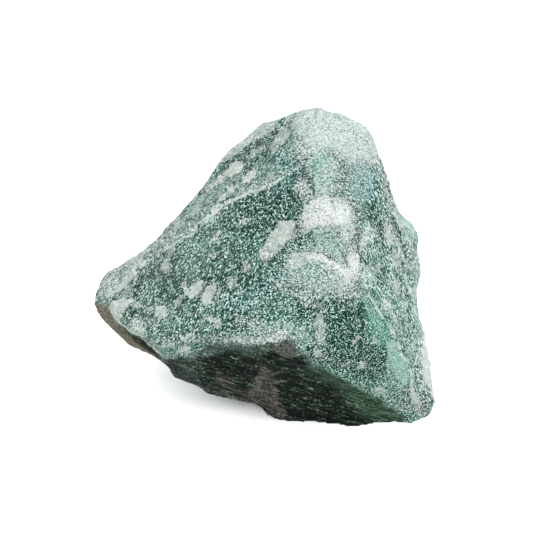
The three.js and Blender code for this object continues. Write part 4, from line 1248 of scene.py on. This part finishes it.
    raised = ramp(tree, over, *finish["glossGrains"])
    bump = addNode(tree, "ShaderNodeBump", {
        "Strength": 1.0, "Distance": grain["height"] * mm, "Height": raised}).outputs[0]
    gloss = ramp(tree, over, *finish["glossGrains"], *finish["roughness"])
    shader = addNode(tree, "ShaderNodeBsdfPrincipled", {
        "Base Color": surface, "Roughness": gloss, "Normal": bump,
        "IOR": finish["ior"], "Specular IOR Level": finish["specular"],
    })
    addNode(tree, "ShaderNodeOutputMaterial", {"Surface": shader.outputs[0]})
    return material


def makeStone():
    stone = cadCopy()
    remeshFinely(stone)
    wearSmooth(stone.data)
    print("remeshed and worn:", len(stone.data.vertices), "points")
    drawFront(stone.data)
    print("front drawn")
    breakSurface(stone, makeStoneFinish())
    fitInside(stone.data)
    print("relief broken and finish made")
    stone.data.shade_smooth()
    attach(stone, "root")
    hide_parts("stone")
    print("stone:", len(stone.data.polygons), "faces")


# A plain pale floor, and soft studio light: a sky that is brightest overhead, and one large lamp.
studio = {
    "level": 2.1,
    "floorSize": 6,
    "floorTone": 0.97,
    "floorRoughness": 0.9,
    "skyTop": 2.42,
    "skyEdge": 1.26,
    "keyPower": 4.9,
    "keySize": 0.6,
    "keyPlace": (0.3, 0.05, 0.8),
    "keyAim": (0, 0, 0.02),
}


def makeFloor():
    half = studio["floorSize"] / 2
    mesh = bpy.data.meshes.new("floor")
    mesh.from_pydata([(-half, -half, 0), (half, -half, 0), (half, half, 0), (-half, half, 0)],
                     [], [(0, 1, 2, 3)])
    floor = bpy.data.objects.new("floor", mesh)
    bpy.context.scene.collection.objects.link(floor)
    material = bpy.data.materials.new("paleFloor")
    material.use_nodes = True
    shader = material.node_tree.nodes["Principled BSDF"]
    shader.inputs["Base Color"].default_value = (studio["floorTone"],) * 3 + (1,)
    shader.inputs["Roughness"].default_value = studio["floorRoughness"]
    mesh.materials.append(material)


def makeLight():
    world = bpy.data.worlds.new("studio")
    world.use_nodes = True
    tree = world.node_tree
    direction = addNode(tree, "ShaderNodeTexCoord").outputs["Generated"]
    height = addNode(tree, "ShaderNodeSeparateXYZ", {0: direction}).outputs[2]
    strength = ramp(tree, height, 0.0, 1.0, studio["skyEdge"], studio["skyTop"])
    tree.links.new(strength, tree.nodes["Background"].inputs["Strength"])
    tree.nodes["Background"].inputs["Color"].default_value = (1, 1, 1, 1)
    bpy.context.scene.world = world
    data = bpy.data.lights.new("key", "AREA")
    data.energy = studio["keyPower"]
    data.size = studio["keySize"]
    key = bpy.data.objects.new("key", data)
    key.location = studio["keyPlace"]
    aim = Vector(studio["keyAim"]) - Vector(studio["keyPlace"])
    key.rotation_euler = aim.to_track_quat("-Z", "Y").to_euler()
    bpy.context.scene.collection.objects.link(key)


makeCamera()
print("camera placed")
makeStone()
makeFloor()
makeLight()
print("floor and light placed")
bpy.context.scene.view_settings.view_transform = "Standard"
